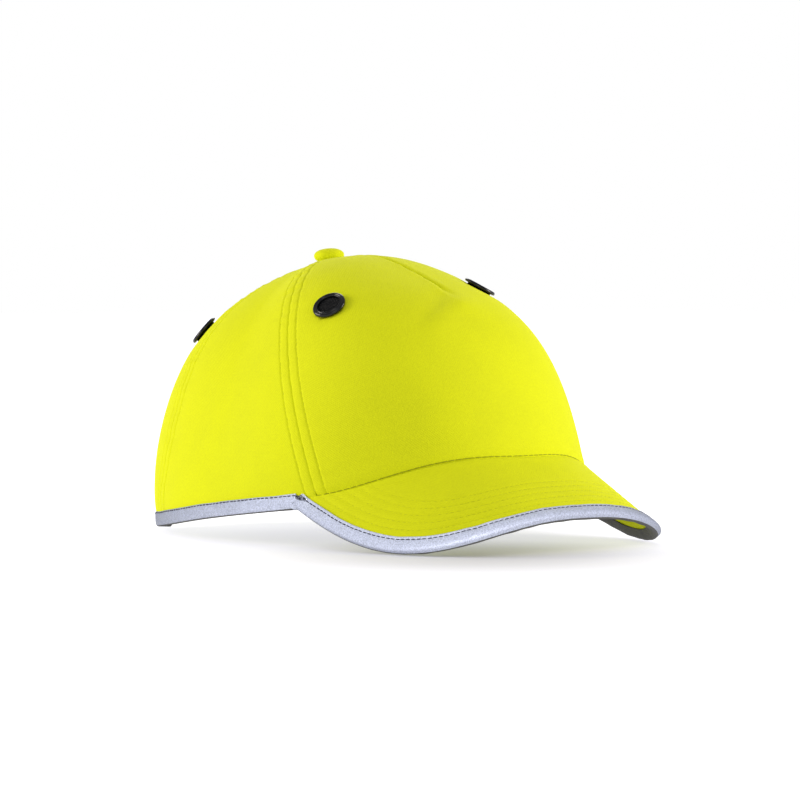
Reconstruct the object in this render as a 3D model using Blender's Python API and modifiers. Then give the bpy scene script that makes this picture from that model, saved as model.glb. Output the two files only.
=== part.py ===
"""Bump cap: a five-panel baseball-style safety cap with a curved peak, reflective edge binding,
four mesh eyelets, a lift-out ABS shell with foam pads, a sweatband and a hook-and-loop rear strap.

Frame: the peak points along -Y, +Z is up, the wearer's right is -X. The origin is on the ground
plane, under the middle of the cap's bounding box. Lengths below are in millimetres and angles in
degrees; make_mesh turns millimetres into metres.
"""

import math

import bmesh
import bpy
import numpy as np
from mathutils import Matrix, Vector

MM = 0.001

# Crown: plan at the rim, heights and profile fullness
HALF_FRONT = 108.7
HALF_REAR = 105.5
HALF_WIDTH = 88.8
PLAN_POWER = 2.20
APEX_BACK = 30.0
APEX_HEIGHT = 122.5
RIM_REAR = -1.28
RIM_RISE = 0.12
RISE_POWER = {"front": 3.79, "side": 1.59, "rear": 2.41}
ROUND_POWER = {"front": 3.77, "side": 2.07, "rear": 1.66}
LEAN_POWER = 1.10
LEAN_POWER_REAR = 2.2
CROWN_SWELL = 6.3
SWELL_REACH = (42.0, 32.0)
HUB_RADIUS = 3.2
FORWARD_SHIFT = 21.9

# Seams, as azimuths from the front: at the rim, at the top, and the bow between them
SEAM_FRONT = (53.3, 8.1, 0.0)
SEAM_REAR = (126.5, 7.2, -9.3)
SEAM_GAP = 0.34
FABRIC = 1.0
TAPE_WIDTH = 9.0
TAPE_INSET = 1.9
TAPE_THICK = 0.6
TAPE_END_RADIUS = 13.0

# Peak: an arch tilted forward, whose sides drop by PEAK_DROP at PEAK_SPAN from the middle
PEAK_HALF_WIDTH = 83.5
PEAK_REACH = 147.3
PEAK_REAR = 28.3
PEAK_POWER = 3.12
PEAK_HEIGHT = 37.95
PEAK_PITCH = 28.1
PEAK_DROP = 46.3
PEAK_SPAN = 82.0
PEAK_DROP_EASE = 0.063
PEAK_BEND = 2.67
COVER_THICK = 0.6
BOARD_THICK = 1.2
LAYER_GAP = 0.35
PEAK_THICK = 2 * COVER_THICK + BOARD_THICK + 2 * LAYER_GAP

# Edge binding
BINDING_WIDTH = 6.4
BINDING_SKIN = 0.5

# Rear opening and strap
ARCH_HALF_ANGLE = 27.0
ARCH_HEIGHT = 46.0
ARCH_POWER = 0.5
STRAP_CENTRE = -20.0
STRAP_RADIUS = 81.2
STRAP_THICK = 1.0
STRAP_LOW = 7.0
STRAP_HIGH = 25.0
STRAP_PAD_THICK = 0.7
STRAP_ROOT_ANGLE = 40.0
STRAP_HINGE_ANGLE = 24.0
STRAP_TIP_ANGLE = -20.0

# Eyelets
EYELET_RADIUS = 7.75
EYELET_BORE = 5.35
EYELET_SEAT = 6.2
EYELET_FRONT_RIGHT = (42.0, 0.8315)
EYELET_FRONT_LEFT = (27.6, 0.906)
EYELET_REAR = (143.0, 0.754)

# Button and its tack
BUTTON_RADIUS = 7.1
BUTTON_HEIGHT = 5.4
BUTTON_LEAN = 5.0

# Sweatband, shell and pads
BAND_INSET = 3.0
BAND_THICK = 2.4
BAND_HEIGHT = 30.0
BAND_END = 129.0
SHELL_INSET = 7.0
SHELL_REAR_EASE = 4.2
SHELL_THICK = 2.2
SHELL_EDGE = 50.0
PAD_GAP = 0.6
PAD_THICK = 6.0

COLOURS = {
    "fabric": ((0.80, 0.88, 0.02), 0.9, 0.0),
    "lining": ((0.74, 0.82, 0.03), 0.9, 0.0),
    "tape": ((0.03, 0.03, 0.035), 0.9, 0.0),
    "reflective": ((0.62, 0.63, 0.68), 0.45, 0.0),
    "eyelet": ((0.02, 0.02, 0.022), 0.3, 0.0),
    "board": ((0.75, 0.75, 0.72), 0.5, 0.0),
    "shell": ((0.03, 0.03, 0.035), 0.35, 0.0),
    "foam": ((0.06, 0.06, 0.07), 0.95, 0.0),
    "strap": ((0.70, 0.78, 0.03), 0.9, 0.0),
}


# ---------------------------------------------------------------- the crown's surface

def rim_point(phi):
    """Plan point (x, forward) of the rim at azimuth phi radians, positive to the wearer's right."""
    c, s = math.cos(phi), math.sin(phi)
    half = HALF_FRONT if c > 0 else HALF_REAR
    total = (abs(c) / half) ** PLAN_POWER + (abs(s) / HALF_WIDTH) ** PLAN_POWER
    radius = total ** (-1 / PLAN_POWER)
    return -s * radius, c * radius


def smooth(low, high, value):
    share = min(max((value - low) / (high - low), 0.0), 1.0)
    return share * share * (3 - 2 * share)


def rim_height(phi):
    """The rim rests on the ground beside the rear opening and climbs towards the peak."""
    forward = rim_point(phi)[1]
    return max(RIM_REAR + RIM_RISE * (forward + HALF_REAR), 0.0)


def power(table, phi):
    c, s = math.cos(phi), math.sin(phi)
    end = table["front"] if c > 0 else table["rear"]
    return end * c * c + table["side"] * s * s


def crown_point(phi, theta, inset=0.0):
    """A point of the crown: theta 0 is the rim, pi / 2 the apex. A positive inset is inside."""
    x, forward = rim_point(phi)
    length = math.hypot(x, forward)
    shrink = (length - inset) / length
    rise = math.sin(theta) ** (2 / power(RISE_POWER, phi)) if theta > 0 else 0.0
    reach = max(math.cos(theta), 0.0) ** (2 / power(ROUND_POWER, phi))
    lean_power = LEAN_POWER + (LEAN_POWER_REAR - LEAN_POWER) * smooth(
        142, 176, abs(math.degrees(phi))
    )
    lean = -APEX_BACK * rise ** lean_power
    px = x * shrink * reach
    pf = forward * shrink * reach + lean
    base = rim_height(phi)
    z = base + (APEX_HEIGHT - inset - base) * rise
    z += CROWN_SWELL * math.exp(-(pf / SWELL_REACH[1]) ** 2 - (px / SWELL_REACH[0]) ** 2)
    return np.array([px, FORWARD_SHIFT - pf, z])


def theta_at_height(phi, z, inset=0.0):
    low, high = 0.0, math.pi / 2 - 0.02
    for _ in range(34):
        middle = (low + high) / 2
        if crown_point(phi, middle, inset)[2] < z:
            low = middle
        else:
            high = middle
    return (low + high) / 2


def rise_share(phi, theta):
    return math.sin(theta) ** (2 / power(RISE_POWER, phi)) if theta > 0 else 0.0


def profile(phi_of, start, count, inset=0.0, hub=HUB_RADIUS, share=(0.0, 1.0)):
    """Evenly spaced (phi, theta) pairs up the crown, from theta start to the hub's radius."""
    hub_point = crown_point(0.0, math.pi / 2)
    fine = [start + (math.pi / 2 - start) * (1 - (1 - k / 160) ** 1.5) for k in range(161)]
    track = []
    for theta in fine:
        phi = phi_of(theta)
        track.append((phi, theta, crown_point(phi, theta, inset)))
    kept = [t for t in track if math.hypot(*(t[2][:2] - hub_point[:2])) > hub]
    last, beyond = kept[-1], track[len(kept)] if len(kept) < len(track) else track[-1]
    near = math.hypot(*(last[2][:2] - hub_point[:2]))
    far = math.hypot(*(beyond[2][:2] - hub_point[:2]))
    part = (near - hub) / max(near - far, 1e-9)
    theta = last[1] + part * (beyond[1] - last[1])
    kept.append((phi_of(theta), theta, crown_point(phi_of(theta), theta, inset)))
    run = [0.0]
    for a, b in zip(kept, kept[1:]):
        run.append(run[-1] + float(np.linalg.norm(b[2] - a[2])))
    wanted = np.linspace(share[0] * run[-1], share[1] * run[-1], count)
    thetas = np.interp(wanted, run, [k[1] for k in kept])
    return [(phi_of(t), t) for t in thetas]


def crown_normal(phi, theta):
    step = 1e-3
    across = crown_point(phi + step, theta) - crown_point(phi - step, theta)
    up = crown_point(phi, theta + step) - crown_point(phi, max(theta - step, 0.0))
    normal = np.cross(up, across)
    normal /= np.linalg.norm(normal)
    outward = crown_point(phi, theta) - np.array([0.0, FORWARD_SHIFT, 50.0])
    return normal if normal @ outward > 0 else -normal


def seam_azimuth(seam, theta):
    rise = rise_share(math.radians(seam[0]), theta)
    return math.radians(seam[0] + seam[1] * rise + 4 * seam[2] * rise * (1 - rise))


# ---------------------------------------------------------------- the peak's surface

def peak_sag(x, forward):
    drop = PEAK_DROP - PEAK_DROP_EASE * (forward - 100.0)
    return drop * (abs(x) / PEAK_SPAN) ** PEAK_BEND


def peak_height(x, forward):
    fall = (forward - HALF_FRONT) * math.tan(math.radians(PEAK_PITCH))
    return PEAK_HEIGHT - fall - peak_sag(x, forward)


def peak_point(x, forward, drop=0.0):
    """A point under the peak's top face, and the face's normal there."""
    slope = peak_sag(x, forward) * PEAK_BEND / max(abs(x), 1e-6)
    normal = np.array([math.copysign(slope, x), -math.tan(math.radians(PEAK_PITCH)), 1.0])
    normal /= np.linalg.norm(normal)
    point = np.array([x, FORWARD_SHIFT - forward, peak_height(x, forward)])
    return point - normal * drop, normal


def peak_root(phi, drop, gap):
    """Plan point (x, forward) whose layer at this drop meets the crown's outer face, less a gap."""
    start = crown_point(phi, joint_theta(phi))
    x, forward = start[0], FORWARD_SHIFT - start[1]
    for _ in range(14):
        point = peak_point(x, forward, drop)[0]
        wall = crown_point(phi, theta_at_height(phi, point[2], -gap), -gap)
        x += 0.8 * (wall[0] - point[0])
        forward -= 0.8 * (wall[1] - point[1])
    return x, forward


def joint_theta(phi, drop=0.0, inset=0.0):
    """Where the crown at this azimuth meets the peak's top face, lowered by drop."""
    low, high = 0.0, 1.2
    for _ in range(34):
        middle = (low + high) / 2
        point = crown_point(phi, middle, inset)
        if point[2] < peak_height(point[0], FORWARD_SHIFT - point[1]) - drop:
            low = middle
        else:
            high = middle
    return (low + high) / 2


def outline(share, inset=0.0):
    """The peak's edge in plan: share -1 is the wearer's right end, 1 the left end."""
    angle = share * math.pi / 2
    c, s = math.cos(angle), math.sin(angle)
    e = 2 / PEAK_POWER
    half = PEAK_HALF_WIDTH - inset
    x = math.copysign(abs(s) ** e, s) * half
    forward = PEAK_REAR + (PEAK_REACH - inset - PEAK_REAR) * max(c, 0.0) ** e
    return x, forward


def peak_corner():
    """Where the peak's edge leaves the crown: the azimuth there and the outline's share."""
    share = 1.0
    while share > 0.5:
        share -= 0.0005
        x, forward = outline(share)
        phi = math.atan2(x, forward)
        wall = crown_point(phi, theta_at_height(phi, peak_height(x, forward)))
        if math.hypot(x, forward) > math.hypot(wall[0], FORWARD_SHIFT - wall[1]):
            return phi, share
    return math.radians(60), 0.9


CORNER, CORNER_SHARE = peak_corner()


def even_outline():
    """The outline's share at evenly spaced distances along it, from its middle to the corner."""
    shares = np.linspace(0.0, CORNER_SHARE, 400)
    points = [np.array([*outline(s)]) for s in shares]
    run = [0.0]
    for a, b in zip(points, points[1:]):
        run.append(run[-1] + float(np.linalg.norm(b - a)))
    return np.array(run) / run[-1], shares


EVEN_RUN, EVEN_SHARE = even_outline()


def outline_even(part, inset=0.0):
    """A point of the outline at this part of the way from the middle to either corner."""
    share = math.copysign(float(np.interp(abs(part), EVEN_RUN, EVEN_SHARE)), part)
    return outline(share, inset)


def lower_theta(phi, height):
    """The crown panels' lower edge: the rim, or the seam under the peak at the front."""
    seat = theta_at_height(phi, rim_height(phi) + height)
    if abs(phi) < CORNER + 0.05:
        seat = max(seat, joint_theta(phi, PEAK_THICK + 0.2))
    return seat


# ---------------------------------------------------------------- building blocks

def material(slot):
    found = bpy.data.materials.get(slot)
    if found:
        return found
    colour, rough, metal = COLOURS[slot]
    made = bpy.data.materials.new(slot)
    made.use_nodes = True
    shader = made.node_tree.nodes["Principled BSDF"]
    shader.inputs["Base Color"].default_value = (*colour, 1.0)
    shader.inputs["Roughness"].default_value = rough
    shader.inputs["Metallic"].default_value = metal
    made.diffuse_color = (*colour, 1.0)
    return made


def place(name, mesh, slot, collection=None):
    obj = bpy.data.objects.new(name, mesh)
    if slot:
        mesh.materials.append(material(slot))
    (collection or CAP).objects.link(obj)
    return obj


def make_mesh(name, points, faces):
    mesh = bpy.data.meshes.new(name)
    mesh.from_pydata([tuple(float(c) * MM for c in p) for p in points], [], faces)
    mesh.update()
    return mesh


def surface(name, rows, slot, thickness, outward, closed=False):
    """An open lofted surface of rows of points, thickened away from its outer face."""
    count = len(rows[0])
    points = [p for row in rows for p in row]
    faces = []
    across = count if closed else count - 1
    for r in range(len(rows) - 1):
        for c in range(across):
            d = (c + 1) % count
            faces.append((r * count + c, r * count + d, (r + 1) * count + d, (r + 1) * count + c))
    total = 0.0
    for face in faces:
        p = [np.array(points[i], float) for i in face]
        normal = np.cross(p[2] - p[0], p[3] - p[1])
        total += float(normal @ outward((p[0] + p[1] + p[2] + p[3]) / 4))
    if total < 0:
        faces = [tuple(reversed(face)) for face in faces]
    mesh = make_mesh(name, points, faces)
    obj = place(name, mesh, slot)
    solid = obj.modifiers.new("thickness", "SOLIDIFY")
    solid.thickness = thickness * MM
    solid.offset = -1.0
    solid.use_even_offset = False
    solid.use_quality_normals = True
    mesh.shade_smooth()
    return obj


def sweep(name, sections, slot, closed=False):
    """A closed solid lofted through matching closed sections, capped at both ends."""
    count = len(sections[0])
    mesh_points = [p for section in sections for p in section]
    faces = []
    last = len(sections) if closed else len(sections) - 1
    for r in range(last):
        n = (r + 1) % len(sections)
        for c in range(count):
            d = (c + 1) % count
            faces.append((r * count + c, r * count + d, n * count + d, n * count + c))
    if not closed:
        faces.append(tuple(range(count)))
        faces.append(tuple(reversed([(len(sections) - 1) * count + c for c in range(count)])))
    mesh = make_mesh(name, mesh_points, faces)
    work = bmesh.new()
    work.from_mesh(mesh)
    bmesh.ops.recalc_face_normals(work, faces=work.faces)
    caps = [f for f in work.faces if len(f.verts) > 4]
    bmesh.ops.triangulate(work, faces=caps)
    work.to_mesh(mesh)
    work.free()
    mesh.shade_smooth()
    mesh.set_sharp_from_angle(angle=math.radians(35))
    return place(name, mesh, slot)


def turned(name, profile_points, slot, steps, matrix, touches_axis=False):
    """A profile of (radius, height) points turned about the object's own Z axis."""
    points = [(r, 0.0, z) for r, z in profile_points]
    edges = [(i, i + 1) for i in range(len(points) - 1)]
    if not touches_axis:
        edges.append((len(points) - 1, 0))
    mesh = bpy.data.meshes.new(name)
    mesh.from_pydata([tuple(c * MM for c in p) for p in points], edges, [])
    obj = place(name, mesh, slot)
    obj.matrix_world = matrix
    screw = obj.modifiers.new("turn", "SCREW")
    screw.axis = "Z"
    screw.angle = math.tau
    screw.steps = steps
    screw.render_steps = steps
    screw.use_merge_vertices = True
    screw.merge_threshold = 0.00001
    screw.use_smooth_shade = True
    return obj


def cutter(name, radius, depth, matrix, stretch=0.0, sides=16):
    """A round cutter, or a slot with round ends when it is stretched along its own X."""
    work = bmesh.new()
    bmesh.ops.create_cone(
        work,
        cap_ends=True,
        segments=sides,
        radius1=radius * MM,
        radius2=radius * MM,
        depth=depth * MM,
    )
    for vertex in work.verts:
        if abs(vertex.co.x) > 1e-7:
            vertex.co.x += math.copysign(stretch * MM, vertex.co.x)
    mesh = bpy.data.meshes.new(name)
    work.to_mesh(mesh)
    work.free()
    obj = place(name, mesh, None, CUTTERS)
    obj.matrix_world = matrix
    obj.hide_render = True
    obj.display_type = "WIRE"
    return obj


def cut(obj, tool):
    mod = obj.modifiers.new("cut " + tool.name, "BOOLEAN")
    mod.operation = "DIFFERENCE"
    mod.solver = "EXACT"
    mod.object = tool


def frame_on_crown(phi, theta, lift=0.0):
    """A matrix whose Z is the crown's outward normal and whose Y leans up the crown."""
    normal = crown_normal(phi, theta)
    up = np.array([0.0, 0.0, 1.0])
    side = np.cross(up, normal)
    side /= np.linalg.norm(side)
    lean = np.cross(normal, side)
    origin = (crown_point(phi, theta) + normal * lift) * MM
    matrix = Matrix.Identity(4)
    for i in range(3):
        matrix[i][0] = float(side[i])
        matrix[i][1] = float(lean[i])
        matrix[i][2] = float(normal[i])
        matrix[i][3] = float(origin[i])
    return matrix


def from_crown_middle(point):
    return point - np.array([0.0, FORWARD_SHIFT, 45.0])


def upwards(_point):
    return np.array([0.0, 0.0, 1.0])


# ---------------------------------------------------------------- the crown's panels

def arch_edge(share):
    """The rear opening's edge as (phi, theta): share 0 is its foot at the rim, 1 its top."""
    angle = share * math.pi / 2
    spread = ARCH_HALF_ANGLE * max(math.cos(angle), 0.0) ** ARCH_POWER
    phi = math.pi - math.radians(spread)
    height = rim_height(phi) + 1.0 + (ARCH_HEIGHT - 1.0) * math.sin(angle) ** ARCH_POWER
    return phi, theta_at_height(phi, height)


def panel(name, side, seam_a, seam_b, columns, rows):
    """A panel between two seams; a missing seam is the centre line, front or rear."""

    def azimuth(seam, theta, centre):
        return seam_azimuth(seam, theta) if seam else centre

    grid = []
    for c in range(columns + 1):
        share = c / columns

        def phi_of(theta, share=share):
            low = azimuth(seam_a, theta, 0.0)
            high = azimuth(seam_b, theta, math.pi)
            reach = max(math.cos(theta), 1e-4) ** (2 / power(ROUND_POWER, (low + high) / 2))
            gap = SEAM_GAP / 2 / max(95.0 * reach, HUB_RADIUS)
            low = low + gap if seam_a else low
            high = high - gap
            return low + (high - low) * share

        start = 0.0
        for _ in range(6):
            start = lower_theta(phi_of(start), 1.0)
        track = profile(phi_of, start, rows + 1)
        grid.append([crown_point(side * phi, theta) for phi, theta in track])
    return surface(name, grid, "fabric", FABRIC, from_crown_middle)


def front_panel():
    """The front panel runs from seam to seam across the centre line."""
    grid = []
    columns, rows = 18, 14
    for c in range(columns + 1):
        share = 2 * c / columns - 1

        def phi_of(theta, share=share):
            seam = seam_azimuth(SEAM_FRONT, theta)
            reach = max(math.cos(theta), 1e-4) ** (2 / power(ROUND_POWER, seam))
            gap = SEAM_GAP / 2 / max(95.0 * reach, HUB_RADIUS)
            return (seam - gap) * share

        start = 0.2
        for _ in range(6):
            start = lower_theta(phi_of(start), 1.0)
        track = profile(phi_of, start, rows + 1)
        grid.append([crown_point(phi, theta) for phi, theta in track])
    return surface("front_panel", grid, "fabric", FABRIC, from_crown_middle)


def rear_panel(name, side):
    """A rear panel: its lower edge follows the rim, then the rear opening, to the centre seam."""
    grid = []
    rim_columns, arch_columns, rows = 3, 8, 12
    foot = arch_edge(0.0)[0]
    seam_foot = seam_azimuth(SEAM_REAR, 0.0) + SEAM_GAP / 2 / 95.0
    lower = []
    for c in range(rim_columns):
        phi = seam_foot + (foot - seam_foot) * c / rim_columns
        lower.append((phi, lower_theta(phi, 1.0)))
    for c in range(arch_columns + 1):
        lower.append(arch_edge(c / arch_columns))
    total = rim_columns + arch_columns
    for c, (phi_low, theta_low) in enumerate(lower):
        share = (c / total) ** 0.9

        def phi_of(theta, phi_low=phi_low, theta_low=theta_low, share=share):
            seam = seam_azimuth(SEAM_REAR, theta)
            reach = max(math.cos(theta), 1e-4) ** (2 / power(ROUND_POWER, seam))
            gap = SEAM_GAP / 2 / max(95.0 * reach, HUB_RADIUS)
            even = seam + gap + (math.pi - 2 * gap - seam) * share
            blend = smooth(theta_low, theta_low + 0.75, theta)
            own = min(phi_low, math.pi - gap)
            if share == 0:
                return even
            return own + (even - own) * blend

        track = profile(phi_of, theta_low, rows + 1)
        grid.append([crown_point(side * phi, theta) for phi, theta in track])
    return surface(name, grid, "fabric", FABRIC, from_crown_middle)


def seam_tape(name, side, seam, low_height, foot_theta=None):
    """A narrow tape inside the crown that covers a seam's allowances."""
    grid = []
    for c in range(3):
        offset = (c - 1) * TAPE_WIDTH / 2

        def phi_of(theta, offset=offset):
            phi = seam_azimuth(seam, theta) if seam else math.pi
            point = crown_point(phi, theta)
            hub = crown_point(phi, math.pi / 2)
            radius = max(math.hypot(*(point[:2] - hub[:2])), 8.0)
            local = max(math.hypot(*(crown_point(phi + 0.01, theta) - point)[:2]) / 0.01, 8.0)
            return phi + offset / max(min(local, 130.0), radius * 0.3)

        start = foot_theta
        if start is None:
            start = lower_theta(phi_of(0.1), low_height)
        track = profile(phi_of, start, 13, TAPE_INSET, TAPE_END_RADIUS)
        grid.append([crown_point(side * phi, theta, TAPE_INSET) for phi, theta in track])
    return surface(name, grid, "tape", TAPE_THICK, from_crown_middle)


# ---------------------------------------------------------------- edge binding

def folded_section(point, normal, inward, width, below, ease, slack=0.0):
    """A folded tape around an edge: the edge's outer face is at point, the fabric lies inward."""
    skin, gap = BINDING_SKIN, LAYER_GAP
    shape = [
        (width, gap + skin),
        (0.0, gap + skin),
        (0.0, -below - gap - skin - slack),
        (width, -below - gap - skin - slack - ease),
        (width, -below - gap - slack - ease),
        (skin, -below - gap - slack),
        (skin, gap),
        (width, gap),
    ]
    return [point + inward * b + normal * n for b, n in shape]


def edge_frames(points, normals):
    """The direction into the fabric at each point of an edge."""
    frames = []
    for i, point in enumerate(points):
        before = points[max(i - 1, 0)]
        after = points[min(i + 1, len(points) - 1)]
        tangent = (after - before) / np.linalg.norm(after - before)
        inward = np.cross(normals[i], tangent)
        frames.append(inward / np.linalg.norm(inward))
    return frames


def crown_binding(name, side):
    start, end = CORNER + 0.035, arch_edge(0.0)[0] - 0.085
    count = 16
    points, normals = [], []
    for k in range(count + 1):
        phi = start + (end - start) * k / count
        theta = theta_at_height(phi, rim_height(phi) + 0.02)
        points.append(crown_point(side * phi, theta))
        normals.append(crown_normal(side * phi, theta + 0.02))
    frames = edge_frames(points, normals)
    sections = []
    for point, normal, inward in zip(points, normals, frames):
        if inward[2] < 0:
            inward = -inward
        sections.append(folded_section(point, normal, inward, BINDING_WIDTH, FABRIC, 0.2, 0.5))
    return sweep(name, sections, "reflective")


def arch_binding():
    count = 14
    shares = [k / count for k in range(count + 1)]
    track = [arch_edge(max(s, 0.0)) for s in shares]
    right = [(phi, theta) for phi, theta in track]
    left = [(-phi, theta) for phi, theta in reversed(track[:-1])]
    foot = arch_edge(0.0)[0]
    ground = (foot, theta_at_height(foot, rim_height(foot) + 0.05))
    path = [ground] + right + left + [(-foot, ground[1])]
    points = [crown_point(phi, theta) for phi, theta in path]
    normals = [crown_normal(phi, theta) for phi, theta in path]
    middle = np.array([0.0, FORWARD_SHIFT + 100.0, 8.0])
    frames = edge_frames(points, normals)
    sections = []
    for point, normal, inward in zip(points, normals, frames):
        if inward @ (point - middle) < 0:
            inward = -inward
        point = point - inward * 1.0
        sections.append(folded_section(point, normal, inward, BINDING_WIDTH, FABRIC, 0.5, 0.3))
    return sweep("binding_rear_opening", sections, "reflective")


def peak_binding():
    count = 44
    points, normals, widths = [], [], []
    for k in range(count + 1):
        x, forward = outline_even((2 * k / count - 1) * 0.955)
        point, normal = peak_point(x, forward)
        points.append(point)
        normals.append(normal)
        phi = math.atan2(-x, forward)
        theta = joint_theta(phi)
        crown = crown_point(phi, theta, -1.2)
        room = np.linalg.norm(point - crown)
        widths.append(min(BINDING_WIDTH, max(room * 0.6, 1.4)))
    frames = edge_frames(points, normals)
    sections = []
    for point, normal, inward, width in zip(points, normals, frames, widths):
        target = np.array([0.0, FORWARD_SHIFT - 60.0, point[2]])
        if inward @ (target - point) < 0:
            inward = -inward
        sections.append(folded_section(point, normal, inward, width, PEAK_THICK, 0.45))
    return sweep("binding_peak", sections, "reflective")


# ---------------------------------------------------------------- the peak

def peak_layer(name, slot, drop, thickness, edge_inset, root_gap, end):
    """One layer of the peak, from the crown's seam out to the inset outline."""
    columns, rows = 26, 4
    grid = []
    for c in range(columns + 1):
        share = 2 * c / columns - 1
        root_x, root_forward = peak_root(-share * CORNER * end, drop + thickness, root_gap)
        x, forward = outline_even(share * (end + 0.03), edge_inset)
        column = []
        for r in range(rows + 1):
            part = r / rows
            px = root_x + (x - root_x) * part
            pf = root_forward + (forward - root_forward) * part
            column.append(peak_point(px, pf, drop)[0])
        grid.append(column)
    return surface(name, grid, slot, thickness, upwards)


# ---------------------------------------------------------------- eyelets and button

def eyelet(tag, side, place_at, panel_object):
    azimuth, rise = place_at
    phi = side * math.radians(azimuth)
    theta = math.asin(rise ** (power(RISE_POWER, phi) / 2))
    matrix = frame_on_crown(phi, theta)
    ring = [
        (EYELET_BORE, 1.0),
        (EYELET_BORE + 0.7, 1.7),
        (EYELET_RADIUS - 0.9, 1.7),
        (EYELET_RADIUS, 0.9),
        (EYELET_RADIUS, 0.35),
        (EYELET_SEAT - 0.35, 0.35),
        (EYELET_SEAT - 0.35, -3.8),
        (EYELET_SEAT + 0.6, -3.8),
        (EYELET_SEAT + 0.6, -4.2),
        (EYELET_BORE, -4.2),
    ]
    turned("eyelet_ring_" + tag, ring, "eyelet", 20, matrix)
    disc = bmesh.new()
    bmesh.ops.create_cone(
        disc,
        cap_ends=True,
        segments=20,
        radius1=(EYELET_BORE - 0.35) * MM,
        radius2=(EYELET_BORE - 0.35) * MM,
        depth=0.5 * MM,
    )
    mesh = bpy.data.meshes.new("eyelet_mesh_" + tag)
    disc.to_mesh(mesh)
    disc.free()
    obj = place("eyelet_mesh_" + tag, mesh, "eyelet")
    obj.matrix_world = matrix @ Matrix.Translation((0, 0, 0.6 * MM))
    washer = [
        (EYELET_SEAT, -2.8),
        (EYELET_RADIUS - 0.1, -2.8),
        (EYELET_RADIUS - 0.1, -3.45),
        (EYELET_SEAT, -3.45),
    ]
    turned("eyelet_washer_" + tag, washer, "eyelet", 20, matrix)
    tool = cutter("hole_" + tag, EYELET_SEAT, 8.0, matrix, sides=20)
    cut(panel_object, tool)


def top_button():
    hub = crown_point(0.0, math.pi / 2)
    lift = 1.5
    matrix = Matrix.Translation(Vector((0, hub[1] * MM, (hub[2] + lift) * MM)))
    matrix = matrix @ Matrix.Rotation(math.radians(-BUTTON_LEAN), 4, "X")
    dome = [(0.0, BUTTON_HEIGHT)]
    for k in range(1, 6):
        angle = math.pi / 2 * k / 5
        dome.append((BUTTON_RADIUS * math.sin(angle) ** 0.8,
                     0.9 + (BUTTON_HEIGHT - 0.9) * math.cos(angle) ** 0.9))
    dome += [(BUTTON_RADIUS - 0.5, 0.0), (0.0, 0.0)]
    turned("top_button", dome, "fabric", 20, matrix, touches_axis=True)
    tack = [(0.0, -0.3), (1.6, -0.3), (1.6, -4.6), (6.0, -5.2), (6.0, -6.0), (0.0, -6.0)]
    turned("button_tack", tack, "eyelet", 16, matrix, touches_axis=True)


# ---------------------------------------------------------------- inside

def sweatband():
    grid = []
    columns = 34
    for c in range(columns + 1):
        phi = math.radians(BAND_END) * (2 * c / columns - 1)
        low = lower_theta(phi, 2.0)
        foot = crown_point(phi, low)[2]
        column = []
        for r in range(3):
            theta = theta_at_height(phi, foot + BAND_HEIGHT * r / 2, BAND_INSET)
            column.append(crown_point(phi, theta, BAND_INSET))
        grid.append(column)
    return surface("sweatband", grid, "lining", BAND_THICK, from_crown_middle)


def shell_edge(phi):
    """The shell's lower edge: a little higher over the ears."""
    return SHELL_EDGE + 6.0 * math.sin(phi) ** 2 + 4.0 * max(math.cos(phi), 0.0) ** 2


def shell_inset(phi, theta):
    """The shell stands further in at its rear corners, so that it slides out past the strap."""
    azimuth = math.degrees(math.acos(math.cos(phi)))
    low = 1 - smooth(0.75, 1.2, theta)
    return SHELL_INSET + SHELL_REAR_EASE * smooth(105, 140, azimuth) * low


def inside_point(phi, z, depth):
    """A point this far inside the shell's outer face, at this height."""
    theta = 0.4
    for _ in range(5):
        inset = shell_inset(phi, theta) + depth
        theta = theta_at_height(phi, z, inset)
    return crown_point(phi, theta, inset)


def bump_shell():
    grid = []
    columns = 36
    for c in range(columns):
        phi = 2 * math.pi * c / columns
        wrapped = (phi + math.pi) % (2 * math.pi) - math.pi
        low_inset = shell_inset(wrapped, 0.3)
        start = theta_at_height(wrapped, shell_edge(wrapped), low_inset)
        track = profile(lambda theta, w=wrapped: w, start, 10, SHELL_INSET, 9.0)
        grid.append([crown_point(w, t, shell_inset(w, t)) for w, t in track])
    rows = [[grid[c][r] for c in range(columns)] for r in range(10)]
    shell = surface("bump_shell", rows, "shell", SHELL_THICK, from_crown_middle, closed=True)
    slots = [(25, 0.80), (-25, 0.80), (62, 0.70), (-62, 0.70), (100, 0.72), (-100, 0.72),
             (140, 0.66), (-140, 0.66), (180, 0.62), (0, 0.62)]
    for k, (azimuth, rise) in enumerate(slots):
        phi = math.radians(azimuth)
        theta = math.asin(rise ** (power(RISE_POWER, phi) / 2))
        matrix = frame_on_crown(phi, theta, -SHELL_INSET)
        cut(shell, cutter("slot_%02d" % k, 3.5, 14.0, matrix, 7.0, 12))
    return shell


def pad(name, azimuths, heights, columns, rows):
    """A foam pad against the shell's inner face, between two azimuths and two heights."""
    grid = []
    for c in range(columns + 1):
        phi = math.radians(azimuths[0] + (azimuths[1] - azimuths[0]) * c / columns)
        column = []
        for r in range(rows + 1):
            z = heights[0] + (heights[1] - heights[0]) * r / rows
            column.append(inside_point(phi, z, SHELL_THICK + PAD_GAP))
        grid.append(column)
    return surface(name, grid, "foam", PAD_THICK, from_crown_middle)


def crown_pad():
    """A round pad under the shell's top."""
    rows = []
    for r in range(5):
        radius = 9.0 + 24.0 * r / 4
        row = []
        for c in range(20):
            angle = 2 * math.pi * c / 20
            x = radius * math.sin(angle) * 1.1
            forward = -APEX_BACK + 14.0 + radius * math.cos(angle) * 1.15
            row.append(np.array([x, FORWARD_SHIFT - forward, top_height(x, forward, 11.6)]))
        rows.append(row)
    return surface("pad_crown", rows, "foam", PAD_THICK - 0.5, upwards, closed=True)


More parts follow.
